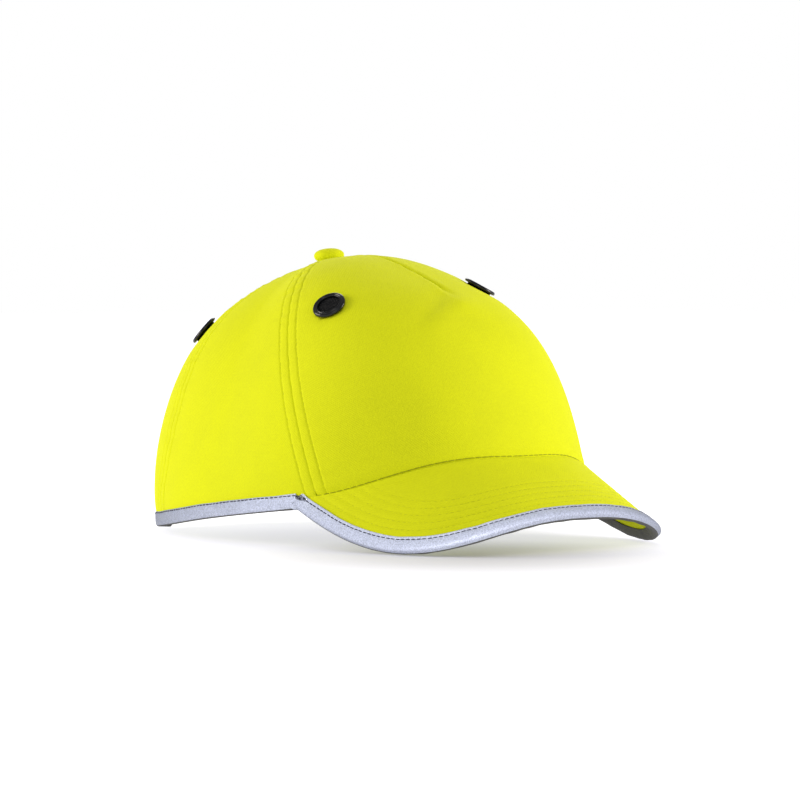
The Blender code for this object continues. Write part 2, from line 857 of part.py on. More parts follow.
def top_height(x, forward, inset):
    """Height of the inset crown above a plan point near its top."""
    best = None
    low, high = 0.3, math.pi / 2
    aim = np.array([x, FORWARD_SHIFT - forward])
    for k in range(72):
        phi = 2 * math.pi * k / 72 - math.pi
        for j in range(60):
            theta = low + (high - low) * j / 59
            point = crown_point(phi, theta, inset)
            gap = math.hypot(*(point[:2] - aim))
            if best is None or gap < best[0]:
                best = (gap, point[2])
    return best[1]


# ---------------------------------------------------------------- rear strap

def strap_piece(name, slot, radius, thickness, angle_a, angle_b, low, high, steps):
    """A band curved about the strap's vertical axis; positive angles are the wearer's right."""
    sections = []
    for k in range(steps + 1):
        angle = math.radians(angle_a + (angle_b - angle_a) * k / steps)
        direction = np.array([-math.sin(angle), math.cos(angle), 0.0])
        centre = np.array([0.0, FORWARD_SHIFT - STRAP_CENTRE, 0.0])
        outer = centre + direction * radius
        inner = centre + direction * (radius - thickness)
        up = np.array([0.0, 0.0, 1.0])
        sections.append([outer + up * low, outer + up * high, inner + up * high, inner + up * low])
    return sweep(name, sections, slot)


def strap():
    hook = STRAP_RADIUS
    hook_pad = hook - STRAP_THICK - LAYER_GAP
    loop_pad = hook_pad - STRAP_PAD_THICK - LAYER_GAP
    loop = loop_pad - STRAP_PAD_THICK - LAYER_GAP
    low, high = STRAP_LOW, STRAP_HIGH
    strap_piece("strap_hook_root", "strap", hook, STRAP_THICK, STRAP_ROOT_ANGLE,
                STRAP_HINGE_ANGLE + 0.2, low, high, 5)
    strap_piece("strap_hook_flap", "strap", hook, STRAP_THICK, STRAP_HINGE_ANGLE - 0.2,
                STRAP_TIP_ANGLE, low, high, 12)
    strap_piece("strap_hook_pad", "tape", hook_pad, STRAP_PAD_THICK, 2.0,
                STRAP_TIP_ANGLE + 1.5, low + 1.0, high - 1.0, 7)
    strap_piece("strap_loop_pad", "tape", loop_pad, STRAP_PAD_THICK, 15.0,
                -19.0, low + 1.0, high - 1.0, 10)
    strap_piece("strap_loop", "strap", loop, STRAP_THICK, 18.0,
                -STRAP_ROOT_ANGLE, low, high, 14)


def build():
    front = front_panel()
    side_right = panel("side_panel_right", 1, SEAM_FRONT, SEAM_REAR, 10, 14)
    side_left = panel("side_panel_left", -1, SEAM_FRONT, SEAM_REAR, 10, 14)
    rear_right = rear_panel("rear_panel_right", 1)
    rear_left = rear_panel("rear_panel_left", -1)
    seam_tape("seam_tape_front_right", 1, SEAM_FRONT, 9.0)
    seam_tape("seam_tape_front_left", -1, SEAM_FRONT, 9.0)
    seam_tape("seam_tape_rear_right", 1, SEAM_REAR, 9.0)
    seam_tape("seam_tape_rear_left", -1, SEAM_REAR, 9.0)
    seam_tape("seam_tape_centre", 1, None, 9.0, arch_edge(1.0)[1] + 0.1)
    eyelet("front_right", 1, EYELET_FRONT_RIGHT, front)
    eyelet("front_left", -1, EYELET_FRONT_LEFT, front)
    eyelet("rear_right", 1, EYELET_REAR, rear_right)
    eyelet("rear_left", -1, EYELET_REAR, rear_left)
    top_button()
    crown_binding("binding_crown_right", 1)
    crown_binding("binding_crown_left", -1)
    arch_binding()
    peak_binding()
    drop = 0.0
    peak_layer("peak_cover_top", "fabric", drop, COVER_THICK, 1.4, 0.5, 0.91)
    drop += COVER_THICK + LAYER_GAP
    peak_layer("peak_board", "board", drop, BOARD_THICK, 2.4, 0.8, 0.84)
    drop += BOARD_THICK + LAYER_GAP
    peak_layer("peak_cover_bottom", "fabric", drop, COVER_THICK, 1.5, 0.6, 0.86)
    sweatband()
    bump_shell()
    pad("pad_front", (-30, 30), (58.0, 84.0), 8, 3)
    pad("pad_rear", (155, 205), (56.0, 84.0), 6, 3)
    pad("pad_right", (68, 112), (62.0, 92.0), 6, 3)
    pad("pad_left", (-112, -68), (62.0, 92.0), 6, 3)
    crown_pad()
    strap()


for old in list(bpy.data.objects):
    bpy.data.objects.remove(old, do_unlink=True)
CAP = bpy.data.collections.new("bump_cap")
bpy.context.scene.collection.children.link(CAP)
CUTTERS = bpy.data.collections.new("cutters")
bpy.context.scene.collection.children.link(CUTTERS)
build()
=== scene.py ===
"""Bump cap: the looks. A five-panel crown with sewn seams and a dart, a curved peak with rows of
stitching, a reflective edge binding, four mesh eyelets, a fabric-covered button, and inside it a
sweatband, a lift-out shell with foam pads, seam tapes and a hook-and-loop rear strap.

Frame: the peak points along -Y, +Z is up, the wearer's right is -X. Shapes are worked out in
millimetres and made in metres. An azimuth phi is 0 at the front and pi at the back.
"""

import math

import bmesh
import bpy
import numpy as np
from mathutils import Matrix, Vector


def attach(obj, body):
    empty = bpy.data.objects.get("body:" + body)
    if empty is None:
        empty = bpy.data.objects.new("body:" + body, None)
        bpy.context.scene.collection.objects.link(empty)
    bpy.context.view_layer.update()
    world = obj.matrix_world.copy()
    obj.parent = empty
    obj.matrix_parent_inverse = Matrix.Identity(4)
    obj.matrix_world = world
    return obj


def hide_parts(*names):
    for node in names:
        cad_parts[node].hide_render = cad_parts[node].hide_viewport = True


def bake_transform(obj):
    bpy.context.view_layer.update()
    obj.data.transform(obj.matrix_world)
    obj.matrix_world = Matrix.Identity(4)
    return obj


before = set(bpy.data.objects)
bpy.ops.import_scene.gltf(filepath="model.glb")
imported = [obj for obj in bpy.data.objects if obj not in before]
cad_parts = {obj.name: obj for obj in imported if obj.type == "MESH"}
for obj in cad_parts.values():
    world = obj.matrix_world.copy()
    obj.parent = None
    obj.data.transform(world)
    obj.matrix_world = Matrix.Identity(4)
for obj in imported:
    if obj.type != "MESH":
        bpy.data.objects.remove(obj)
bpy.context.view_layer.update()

MM = 0.001
RNG = np.random.default_rng(11)
UP = np.array([0.0, 0.0, 1.0])

# Crown: the same surface as the solid parts
HALF_FRONT, HALF_REAR, HALF_WIDTH = 108.7, 105.5, 88.8
PLAN_POWER = 2.20
APEX_BACK, APEX_HEIGHT = 30.0, 122.5
RIM_REAR, RIM_RISE = -1.28, 0.12
RISE_POWER = (3.79, 1.59, 2.41)
ROUND_POWER = (3.77, 2.07, 1.66)
LEAN_POWER, LEAN_POWER_REAR = 1.10, 2.2
CROWN_SWELL = 6.3
SWELL_REACH = (42.0, 32.0)
HUB_RADIUS = 3.2
FORWARD_SHIFT = 21.9
SEAM_FRONT = (53.3, 8.1, 0.0)
SEAM_REAR = (126.5, 7.2, -9.3)
MIDDLE = np.array([0.0, FORWARD_SHIFT, 45.0])

# Peak
PEAK_HALF_WIDTH, PEAK_REACH, PEAK_REAR = 83.5, 147.3, 28.3
PEAK_POWER = 3.12
PEAK_HEIGHT = 37.95
PEAK_PITCH = math.tan(math.radians(28.1))
PEAK_DROP, PEAK_SPAN, PEAK_DROP_EASE, PEAK_BEND = 46.3, 82.0, 0.063, 2.67
PEAK_THICK, COVER = 3.1, 0.6

# Edges, eyelets, button
FABRIC = 1.0
BINDING_WIDTH = 6.4
ARCH_HALF_ANGLE, ARCH_HEIGHT, ARCH_POWER = 27.0, 46.0, 0.5
TOPSTITCH = 5.0
EYELETS = {
    "front_right": (42.0, 0.8315),
    "front_left": (-27.6, 0.906),
    "rear_right": (143.0, 0.754),
    "rear_left": (-143.0, 0.754),
}
EYELET_HOLE = 6.1
BUTTON_RADIUS, BUTTON_HEIGHT, BUTTON_LEAN = 7.1, 5.4, 5.0
DART_END = 0.905


# ---------------------------------------------------------------- surfaces

def smooth(low, high, value):
    share = np.clip((value - low) / (high - low), 0.0, 1.0)
    return share * share * (3 - 2 * share)


def bump(value, width):
    return np.exp(-(value / width) ** 2)


def unit(vectors):
    return vectors / np.maximum(np.linalg.norm(vectors, axis=-1, keepdims=True), 1e-12)


def solve(is_low, like, high):
    """Halves the range from 0 to high until it closes on where is_low turns false."""
    low, high = np.zeros_like(like), np.full_like(like, high)
    for _ in range(30):
        middle = (low + high) / 2
        under = is_low(middle)
        low = np.where(under, middle, low)
        high = np.where(under, high, middle)
    return (low + high) / 2


def rim(phi):
    c, s = np.cos(phi), np.sin(phi)
    half = np.where(c > 0, HALF_FRONT, HALF_REAR)
    total = (np.abs(c) / half) ** PLAN_POWER + (np.abs(s) / HALF_WIDTH) ** PLAN_POWER
    radius = total ** (-1 / PLAN_POWER)
    return -s * radius, c * radius


def rim_height(phi):
    return np.maximum(RIM_REAR + RIM_RISE * (rim(phi)[1] + HALF_REAR), 0.0)


def power(table, phi):
    c, s = np.cos(phi), np.sin(phi)
    return np.where(c > 0, table[0], table[2]) * c * c + table[1] * s * s


def rise_share(phi, theta):
    return np.maximum(np.sin(theta), 0.0) ** (2 / power(RISE_POWER, phi))


def theta_of_rise(phi, rise):
    return float(np.arcsin(rise ** (power(RISE_POWER, phi) / 2)))


def crown(phi, theta, inset=0.0):
    """Points of the crown: theta 0 is the rim, pi / 2 the apex, and a positive inset is inside."""
    x, forward = rim(phi)
    length = np.hypot(x, forward)
    shrink = (length - inset) / length
    rise = rise_share(phi, theta)
    reach = np.maximum(np.cos(theta), 0.0) ** (2 / power(ROUND_POWER, phi))
    turn = smooth(142, 176, np.abs(np.degrees(phi)))
    lean = -APEX_BACK * rise ** (LEAN_POWER + (LEAN_POWER_REAR - LEAN_POWER) * turn)
    px = x * shrink * reach
    pf = forward * shrink * reach + lean
    base = rim_height(phi)
    z = base + (APEX_HEIGHT - inset - base) * rise
    z = z + CROWN_SWELL * np.exp(-(pf / SWELL_REACH[1]) ** 2 - (px / SWELL_REACH[0]) ** 2)
    return np.stack([px, FORWARD_SHIFT - pf, z + 0 * px], axis=-1)


TOP = crown(0.0, math.pi / 2)


def crown_normal(phi, theta):
    step = 1e-3
    theta = np.maximum(theta, 0.03)
    across = crown(phi + step, theta) - crown(phi - step, theta)
    up = crown(phi, theta + step) - crown(phi, theta - step)
    normal = unit(np.cross(up, across))
    outward = crown(phi, theta) - np.array([0.0, FORWARD_SHIFT, 50.0])
    return normal * np.sign((normal * outward).sum(-1, keepdims=True))


def theta_at(phi, z, inset=0.0):
    phi = np.asarray(phi, float)
    return solve(lambda theta: crown(phi, theta, inset)[..., 2] < z, phi, math.pi / 2 - 0.02)


def seam_azimuth(seam, theta):
    rise = rise_share(math.radians(seam[0]), theta)
    return np.radians(seam[0] + seam[1] * rise + 4 * seam[2] * rise * (1 - rise))


def frame_on_crown(azimuth, rise):
    """The turn and the origin of a frame on the crown, its Z axis along the outward normal."""
    phi = math.radians(azimuth)
    theta = theta_of_rise(phi, rise)
    normal = crown_normal(phi, theta)
    side = unit(np.cross(UP, normal))
    return np.stack([side, np.cross(normal, side), normal], -1), crown(phi, theta)


def peak_sag(x, forward):
    drop = PEAK_DROP - PEAK_DROP_EASE * (forward - 100.0)
    return drop * (np.abs(x) / PEAK_SPAN) ** PEAK_BEND


def peak_height(x, forward):
    return PEAK_HEIGHT - (forward - HALF_FRONT) * PEAK_PITCH - peak_sag(x, forward)


def above_peak(points):
    return points[..., 2] - peak_height(points[..., 0], FORWARD_SHIFT - points[..., 1])


def peak(x, forward):
    """Points of the peak's top face, and the face's normals."""
    slope = peak_sag(x, forward) * PEAK_BEND / np.maximum(np.abs(x), 1e-6)
    normal = unit(np.stack([np.sign(x) * slope, x * 0 - PEAK_PITCH, x * 0 + 1], axis=-1))
    point = np.stack([x, FORWARD_SHIFT - forward, peak_height(x, forward)], axis=-1)
    return point, normal


def joint_theta(phi, drop=0.0):
    """Where the crown meets the peak's surface, or a surface this far below it."""
    phi = np.asarray(phi, float)
    return solve(lambda theta: above_peak(crown(phi, theta)) < -drop, phi, 1.2)


def outline(share):
    """The peak's edge in plan: share -1 is the wearer's right end, 1 the left end."""
    angle = share * math.pi / 2
    c, s = np.maximum(np.cos(angle), 0.0), np.sin(angle)
    e = 2 / PEAK_POWER
    x = np.sign(s) * np.abs(s) ** e * PEAK_HALF_WIDTH
    return x, PEAK_REAR + (PEAK_REACH - PEAK_REAR) * c ** e


def find_corner():
    """Where the peak's edge leaves the crown: the azimuth there and the outline's share."""
    shares = np.arange(1.0, 0.5, -0.0005)
    x, forward = outline(shares)
    phi = np.arctan2(x, forward)
    wall = crown(phi, theta_at(phi, peak_height(x, forward)))
    out = np.hypot(x, forward) > np.hypot(wall[:, 0], FORWARD_SHIFT - wall[:, 1])
    first = int(np.argmax(out))
    return float(phi[first]), float(shares[first])


CORNER, CORNER_SHARE = find_corner()


def lower_theta(phi, height):
    """The crown panels' lower edge: the rim, or the seam under the peak at the front."""
    seat = theta_at(phi, rim_height(phi) + height)
    under_peak = joint_theta(phi, PEAK_THICK + 0.2)
    return np.where(np.abs(phi) < CORNER + 0.05, np.maximum(seat, under_peak), seat)


# ---------------------------------------------------------------- curves and grids

def run_of(points):
    """Distance along a track of points."""
    steps = np.linalg.norm(np.diff(points, axis=0), axis=1)
    return np.concatenate([[0.0], np.cumsum(steps)])


def read_at(places, run, values):
    """Each column of values, read at these places along the run."""
    return np.stack([np.interp(places, run, values[:, k]) for k in range(values.shape[1])], -1)


def resample(points, count, *more):
    """The track at evenly spaced distances, with any matching arrays resampled alike."""
    run = run_of(points)
    wanted = np.linspace(0, run[-1], count)
    return [read_at(wanted, run, a.reshape(len(a), -1)).reshape((count,) + a.shape[1:])
            for a in (points, *more)]


def outward_normals(points, middle):
    """Normals of a grid of points, from its own shape, looking away from the middle."""
    normals = unit(np.cross(np.gradient(points, axis=0), np.gradient(points, axis=1)))
    return normals * np.sign(((points - middle) * normals).sum(-1).mean())


def ripple(run, wavelength, seed):
    """A smooth irregular wave between about -1 and 1 along a distance."""
    rng = np.random.default_rng(seed)
    total = np.zeros_like(run)
    for _ in range(5):
        length = wavelength * rng.uniform(0.6, 1.7)
        total = total + np.sin(2 * math.pi * run / length + rng.uniform(0, 6.28))
    return total / 2.6


def blur(array, run, reach):
    """Smooths values along a track over this reach in millimetres."""
    half = max(int(reach / float(np.median(np.diff(run)))), 1)
    window = np.hanning(2 * half + 3)[1:-1]
    window /= window.sum()
    flat = array.reshape(len(array), -1)
    padded = np.concatenate([np.repeat(flat[:1], half, 0), flat, np.repeat(flat[-1:], half, 0)])
    out = np.stack([np.convolve(padded[:, k], window, "valid") for k in range(flat.shape[1])], -1)
    return out.reshape(array.shape)


# ---------------------------------------------------------------- meshes

def put_in_scene(name, mesh):
    obj = bpy.data.objects.new(name, mesh)
    bpy.context.scene.collection.objects.link(obj)
    return obj


def make_object(name, points, faces, material, uv=None):
    """A mesh piece from points in millimetres; uv is one (u, v) in millimetres for each point."""
    mesh = bpy.data.meshes.new(name)
    mesh.from_pydata((np.asarray(points).reshape(-1, 3) * MM).tolist(), [], faces)
    if uv is not None:
        layer = mesh.uv_layers.new(name="cloth")
        index = np.empty(len(mesh.loops), np.int32)
        mesh.loops.foreach_get("vertex_index", index)
        pairs = np.stack(np.broadcast_arrays(*uv), -1).reshape(-1, 2) * MM
        layer.data.foreach_set("uv", pairs[index].astype(np.float32).ravel())
    mesh.shade_smooth()
    mesh.update()
    mesh.materials.append(material)
    return put_in_scene(name, mesh)


def grid_faces(columns, rows, closed_columns=False, closed_rows=False, base=0):
    """Faces of a grid stored column after column."""
    faces = []
    for c in range(columns if closed_columns else columns - 1):
        d = (c + 1) % columns
        for r in range(rows if closed_rows else rows - 1):
            s = (r + 1) % rows
            faces.append((base + c * rows + r, base + d * rows + r,
                          base + d * rows + s, base + c * rows + s))
    return faces


def tube_faces(columns, rows, base=0):
    """Faces of a closed tube with an end face at its first and last ring."""
    last = base + (columns - 1) * rows
    ends = [tuple(range(base, base + rows)), tuple(reversed(range(last, last + rows)))]
    return grid_faces(columns, rows, False, True, base) + ends


def face_out(points, faces, middle):
    """The faces, turned over if they look towards the middle."""
    flat = np.asarray(points).reshape(-1, 3)
    quads = flat[np.array(faces)[:, :4]]
    normal = np.cross(quads[:, 2] - quads[:, 0], quads[:, 3] - quads[:, 1])
    total = (normal * (quads.mean(1) - middle)).sum()
    return faces if total > 0 else [tuple(reversed(f)) for f in faces]


def thicken(obj, thickness):
    solid = obj.modifiers.new("thickness", "SOLIDIFY")
    solid.thickness = thickness * MM
    solid.offset = -1.0
    solid.use_quality_normals = True


def sheet_object(name, points, material, thickness, middle, uv):
    """A fabric sheet from a grid of points, thickened away from its outer face."""
    faces = face_out(points, grid_faces(*points.shape[:2]), middle)
    piece = make_object(name, points, faces, material, uv)
    thicken(piece, thickness)
    return piece


def close_up(obj, merge=False):
    """Turns a closed piece's faces outwards, with points that coincide joined if asked."""
    work = bmesh.new()
    work.from_mesh(obj.data)
    if merge:
        bmesh.ops.remove_doubles(work, verts=work.verts, dist=1e-7)
    bmesh.ops.recalc_face_normals(work, faces=work.faces)
    work.to_mesh(obj.data)
    work.free()


def swept(name, path, sides, ups, sections, material):
    """A closed solid: section points (side, up) carried along a path of points."""
    points = path[:, None] + sides[:, None] * sections[..., :1] + ups[:, None] * sections[..., 1:2]
    uv = (run_of(path)[:, None], run_of(sections[0])[None])
    obj = make_object(name, points, tube_faces(*points.shape[:2]), material, uv)
    close_up(obj)
    return obj


def round_grid(radius, height, angle):
    """Points at these radii and heights, turned about Z, one column for each angle."""
    return np.stack(np.broadcast_arrays(radius * np.cos(angle)[:, None],
                                        radius * np.sin(angle)[:, None], height), -1)


# ---------------------------------------------------------------- stitches

STITCH_RINGS = ((-0.5, 0.35, -0.9), (-0.42, 0.85, -0.1), (-0.2, 1.0, 0.35),
                (0.2, 1.0, 0.35), (0.42, 0.85, -0.1), (0.5, 0.35, -0.9))
STITCH_SIDES = 6
STITCH_POINTS = STITCH_SIDES * len(STITCH_RINGS)


class Thread:
    """Stitches gathered into one piece: short rounded lengths of thread, ends dipping in."""

    def __init__(self, name, material):
        self.name, self.material = name, material
        self.stitches = []

    def line(self, points, normals, pitch, length, radius, lift):
        """Stitches along a track, each a little off its even place and direction."""
        run = run_of(points)
        total = run[-1]
        number = int(total // pitch)
        centres = (np.arange(number) + 0.5) * total / number
        centres = centres + RNG.uniform(-0.06, 0.06, number) * pitch
        start, end = [read_at(np.clip(centres + k * length * 0.5, 0, total), run, points)
                      for k in (-1, 1)]
        up = unit(read_at(centres, run, normals))
        middle = (start + end) / 2
        along = unit(end - start)
        side = unit(np.cross(up, along))
        up = np.cross(along, side)
        sway = RNG.uniform(-0.05, 0.05, number)
        rings = []
        for part, width, height in STITCH_RINGS:
            for k in range(STITCH_SIDES):
                angle = 2 * math.pi * k / STITCH_SIDES
                rings.append(middle
                             + along * (part * length)
                             + side * (math.cos(angle) * radius * width + part * sway[:, None])
                             + up * (math.sin(angle) * radius * width * 0.8
                                     + radius * height + lift))
        self.stitches.extend(np.stack(rings, axis=1))

    def finish(self, body, slot):
        faces = []
        for k in range(len(self.stitches)):
            tube = tube_faces(len(STITCH_RINGS), STITCH_SIDES, k * STITCH_POINTS)
            faces.extend(tuple(reversed(face)) for face in tube)
        piece = make_object(self.name, np.concatenate(self.stitches), faces, self.material)
        carry(piece, body, slot)


def carry(piece, body, slot, *nodes):
    """A piece rides on a body and stands for CAD nodes. The slot is not used."""
    if body:
        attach(piece, body)
    if nodes:
        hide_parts(*nodes)


# ---------------------------------------------------------------- materials

class Look:
    """A node material built around one Principled shader."""

    def __init__(self, name, colour, rough, **constants):
        self.material = bpy.data.materials.new(name)
        self.material.use_nodes = True
        self.tree = self.material.node_tree
        self.inputs = self.tree.nodes["Principled BSDF"].inputs
        self.colour = colour
        self.inputs["Base Color"].default_value = (*colour, 1.0)
        self.inputs["Roughness"].default_value = rough
        for key, value in constants.items():
            self.inputs[key.replace("_", " ")].default_value = value

    def node(self, kind, **values):
        made = self.tree.nodes.new(kind)
        for key, value in values.items():
            setattr(made, key, value)
        return made

    def link(self, out, into):
        self.tree.links.new(out, into)

    def math(self, operation, first, second=None):
        made = self.node("ShaderNodeMath", operation=operation)
        for socket, value in zip(made.inputs, (first, second)):
            if isinstance(value, (int, float)):
                socket.default_value = value
            elif value is not None:
                self.link(value, socket)
        return made.outputs[0]

    def pattern(self, kind, **values):
        """A texture node in object coordinates."""
        made = self.node(kind)
        for key, value in values.items():
            made.inputs[key].default_value = value
        self.link(self.node("ShaderNodeTexCoord").outputs["Object"], made.inputs["Vector"])
        return made.outputs

    def noise(self, scale, detail=3.0):
        return self.pattern("ShaderNodeTexNoise", Scale=scale, Detail=detail, Roughness=0.5)["Fac"]

    def cells(self, scale):
        return self.pattern("ShaderNodeTexVoronoi", Scale=scale)["Distance"]

    def ramp(self, value, stops):
        made = self.node("ShaderNodeValToRGB")
        made.color_ramp.elements[0].position = stops[0][0]
        made.color_ramp.elements[1].position = stops[-1][0]
        for position, _ in stops[1:-1]:
            made.color_ramp.elements.new(position)
        for element, (_, colour) in zip(made.color_ramp.elements, stops):
            element.color = (*colour, 1.0)
        self.link(value, made.inputs[0])
        return made.outputs[0]

    def mix(self, *parts):
        """The sum of (value, share) parts."""
        total = self.math("MULTIPLY", *parts[0])
        for part in parts[1:]:
            total = self.math("ADD", total, self.math("MULTIPLY", *part))
        return total

    def weave(self, pitch, tall):
        """Height of a plain weave, from 0 to 1, with threads this far apart in metres."""
        split = self.node("ShaderNodeSeparateXYZ")
        self.link(self.node("ShaderNodeUVMap", uv_map="cloth").outputs[0], split.inputs[0])
        waves = [self.math("SINE", self.math("MULTIPLY", split.outputs[axis], math.pi / size))
                 for axis, size in ((0, pitch), (1, pitch * tall))]
        return self.math("ADD", self.math("MULTIPLY", self.math("MULTIPLY", *waves), 0.5), 0.5)

    def tint(self, value, spread):
        """The base colour varied by a value from 0 to 1."""
        low = tuple(c * (1 - spread) for c in self.colour)
        high = tuple(min(c * (1 + spread), 1.0) for c in self.colour)
        self.link(self.ramp(value, [(0.25, low), (0.75, high)]), self.inputs["Base Color"])

    def roughen(self, value, low, high):
        spread = self.math("MULTIPLY", value, high - low)
        self.link(self.math("ADD", spread, low), self.inputs["Roughness"])

    def raise_by(self, *layers):
        """Bump layers: (height from 0 to 1, real height in metres)."""
        previous = None
        for height, distance in layers:
            made = self.node("ShaderNodeBump")
            made.inputs["Strength"].default_value = 1.0
            made.inputs["Distance"].default_value = distance
            self.link(height, made.inputs["Height"])
            if previous is not None:
                self.link(previous, made.inputs["Normal"])
            previous = made.outputs[0]
        self.link(previous, self.inputs["Normal"])


def fabric_look(name, colour, pitch=0.00058, tall=1.1):
    look = Look(name, colour, 0.82, Sheen_Weight=0.06, Sheen_Roughness=0.4,
                Specular_IOR_Level=0.12, Sheen_Tint=(0.9, 1.0, 0.15, 1.0))
    height = look.weave(pitch, tall)
    grain, cloud = look.noise(1500.0, 2.0), look.noise(38.0, 4.0)
    look.tint(look.mix((grain, 0.55), (cloud, 0.30), (height, 0.15)), 0.10)
    look.roughen(cloud, 0.74, 0.92)
    look.raise_by((cloud, 0.00035), (height, 0.00006), (grain, 0.00006))
    return look.material


def reflective_look():
    look = Look("reflective", (0.44, 0.468, 0.585), 0.6, Metallic=0.15)
    beads, cloud, cell = look.noise(2300.0, 1.5), look.noise(120.0, 4.0), look.cells(3200.0)
    specks = look.ramp(look.noise(1700.0, 2.0), [(0.38, (0, 0, 0)), (0.62, (1, 1, 1))])
    look.tint(look.mix((beads, 0.35), (cloud, 0.2), (cell, 0.15), (specks, 0.30)), 0.30)
    look.roughen(beads, 0.50, 0.72)
    look.raise_by((cloud, 0.00018), (cell, 0.00005), (beads, 0.00006))
    return look.material


def thread_look(name, colour):
    look = Look(name, colour, 0.7, Specular_IOR_Level=0.15)
    strands = look.noise(3800.0, 2.0)
    look.tint(strands, 0.22)
    look.roughen(strands, 0.45, 0.8)
    look.raise_by((strands, 0.00005))
    return look.material


def plastic_look(name, colour, rough, grain, depth, gloss=0.5):
    look = Look(name, colour, rough, Specular_IOR_Level=gloss)
    fine, cloud, cell = look.noise(grain), look.noise(90.0), look.cells(grain * 0.7)
    look.tint(cloud, 0.25)
    look.roughen(cloud, rough * 0.8, min(rough * 1.25, 1.0))
    look.raise_by((cell, depth), (fine, depth * 0.6))
    return look.material


def foam_look():
    look = Look("foam", (0.035, 0.035, 0.04), 0.95, Sheen_Weight=0.1)
    cell, cloud = look.cells(1500.0), look.noise(70.0)
    look.tint(look.mix((cell, 0.7), (cloud, 0.3)), 0.35)
    look.roughen(cloud, 0.85, 1.0)
    look.raise_by((cloud, 0.0003), (cell, 0.00012))
    return look.material


def nap_look(name, colour, scale, depth):
    look = Look(name, colour, 0.9, Sheen_Weight=0.3, Sheen_Roughness=0.6)
    cell, fibre = look.cells(scale), look.noise(scale * 1.7, 4.0)
    look.tint(look.mix((cell, 0.5), (fibre, 0.5)), 0.4)
    look.roughen(fibre, 0.75, 1.0)
    look.raise_by((cell, depth), (fibre, depth * 0.6))
    return look.material


YELLOW = fabric_look("fluorescent_fabric", (0.80, 0.845, 0.0095))
LINING = fabric_look("lining_terry", (0.74, 0.80, 0.014), 0.0009, 1.0)
WEBBING = fabric_look("strap_webbing", (0.74, 0.80, 0.012), 0.0008, 1.6)
TAPE = fabric_look("seam_tape", (0.03, 0.03, 0.034), 0.0006, 1.4)
SILVER = reflective_look()
# Painted shade: a dark material for the binding's underside and a thin tape's front edge, which are
# only in shade
SILVER_PAINTED_SHADE = plastic_look("reflective_painted_shade", (0.078, 0.077, 0.075), 0.6, 1500.0, 0.00003)
THREAD = thread_look("thread_yellow", (0.66, 0.70, 0.009))
# Real stitches along the crown-to-peak seam, their thread darkened to olive as painted shade of the
# crease
SEAM_THREAD_PAINTED_SHADE = thread_look("thread_olive_painted_shade", (0.40, 0.42, 0.007))
GREY_THREAD = thread_look("thread_grey", (0.040, 0.042, 0.060))
BLACK = plastic_look("eyelet_black", (0.004, 0.004, 0.005), 0.13, 2600.0, 0.00001, 0.40)
SHELL = plastic_look("shell_abs", (0.022, 0.022, 0.025), 0.42, 1400.0, 0.00005)
BOARD = plastic_look("peak_board", (0.74, 0.74, 0.71), 0.5, 1200.0, 0.00004)
FOAM = foam_look()
HOOK = nap_look("hook_tape", (0.02, 0.02, 0.023), 1100.0, 0.0004)
LOOP = nap_look("loop_tape", (0.028, 0.028, 0.032), 1700.0, 0.0003)


# ---------------------------------------------------------------- the crown's panels

# Where columns of points stand beside a seam, and beside the dart, in millimetres
EDGE = np.array([0, 0.2, 0.4, 0.7, 1.1, 1.7, 2.5, 3.3, 4.0, 4.45, 4.75, 5.0, 5.25, 5.55, 6.0,
                 6.8, 8.2, 10.0, 12.0])
CENTRE = np.array([0, 0.35, 0.7, 1.1, 1.6, 2.3, 3.2, 4.5, 6.5, 9.0])
FULL_WIDTH, FULL_WIDTH_CENTRE = 32.0, 58.0  # rows narrower than this draw their columns together


def tracks(shares, phi_of, start_of, rows, inset=0.0, hub=HUB_RADIUS):
    """(phi, theta, distance) up the crown at even distances, one column for each share."""
    found = []
    for share in shares:
        start = float(start_of(share))
        fine = start + (math.pi / 2 - start) * (1 - (1 - np.linspace(0, 1, 260)) ** 1.5)
        points = crown(phi_of(fine, share), fine, inset)
        away = np.hypot(points[:, 0] - TOP[0], points[:, 1] - TOP[1])
        last = int(np.nonzero(away > hub)[0].max())
        if last + 1 < len(fine):
            part = (away[last] - hub) / max(away[last] - away[last + 1], 1e-9)
            theta_end = fine[last] + part * (fine[last + 1] - fine[last])
            fine = np.concatenate([fine[: last + 1], [theta_end]])
            points = crown(phi_of(fine, share), fine, inset)
        run = run_of(points)
        wanted = np.linspace(0, run[-1], rows)
        thetas = np.interp(wanted, run, fine)
        found.append(np.stack([phi_of(thetas, share), thetas, wanted], -1))
    return np.array(found)


def column_distances(width, middle_count, centre):
    """Where the columns stand across a row, close together beside its seams, and their scale."""
    scale = min(1.0, width / (FULL_WIDTH_CENTRE if centre else FULL_WIDTH))
    edge = EDGE * scale
    if centre:
        inner = CENTRE * scale
        half = np.linspace(edge[-1], width / 2 - inner[-1], middle_count // 2 + 2)[1:-1]
        left = np.concatenate([edge, half, width / 2 - inner[:0:-1]])
        return np.concatenate([left, [width / 2], width - left[::-1]]), scale
    middle = np.linspace(edge[-1], width - edge[-1], middle_count + 2)[1:-1]
    return np.concatenate([edge, middle, width - edge[::-1]]), scale


def spread(coarse, middle_count, centre):
    """The grid with its columns placed by distance along each row, and both seams' distances."""
    out, near, far, scales = [], [], [], []
    for row in np.swapaxes(coarse, 0, 1):
        run = run_of(crown(row[:, 0], row[:, 1]))
        places, scale = column_distances(run[-1], middle_count, centre)
        out.append(read_at(places, run, row))
        near.append(places)
        far.append(run[-1] - places)
        scales.append(scale)
    grid, near, far = [np.swapaxes(np.array(a), 0, 1) for a in (out, near, far)]
    return grid, near, far, np.array(scales)


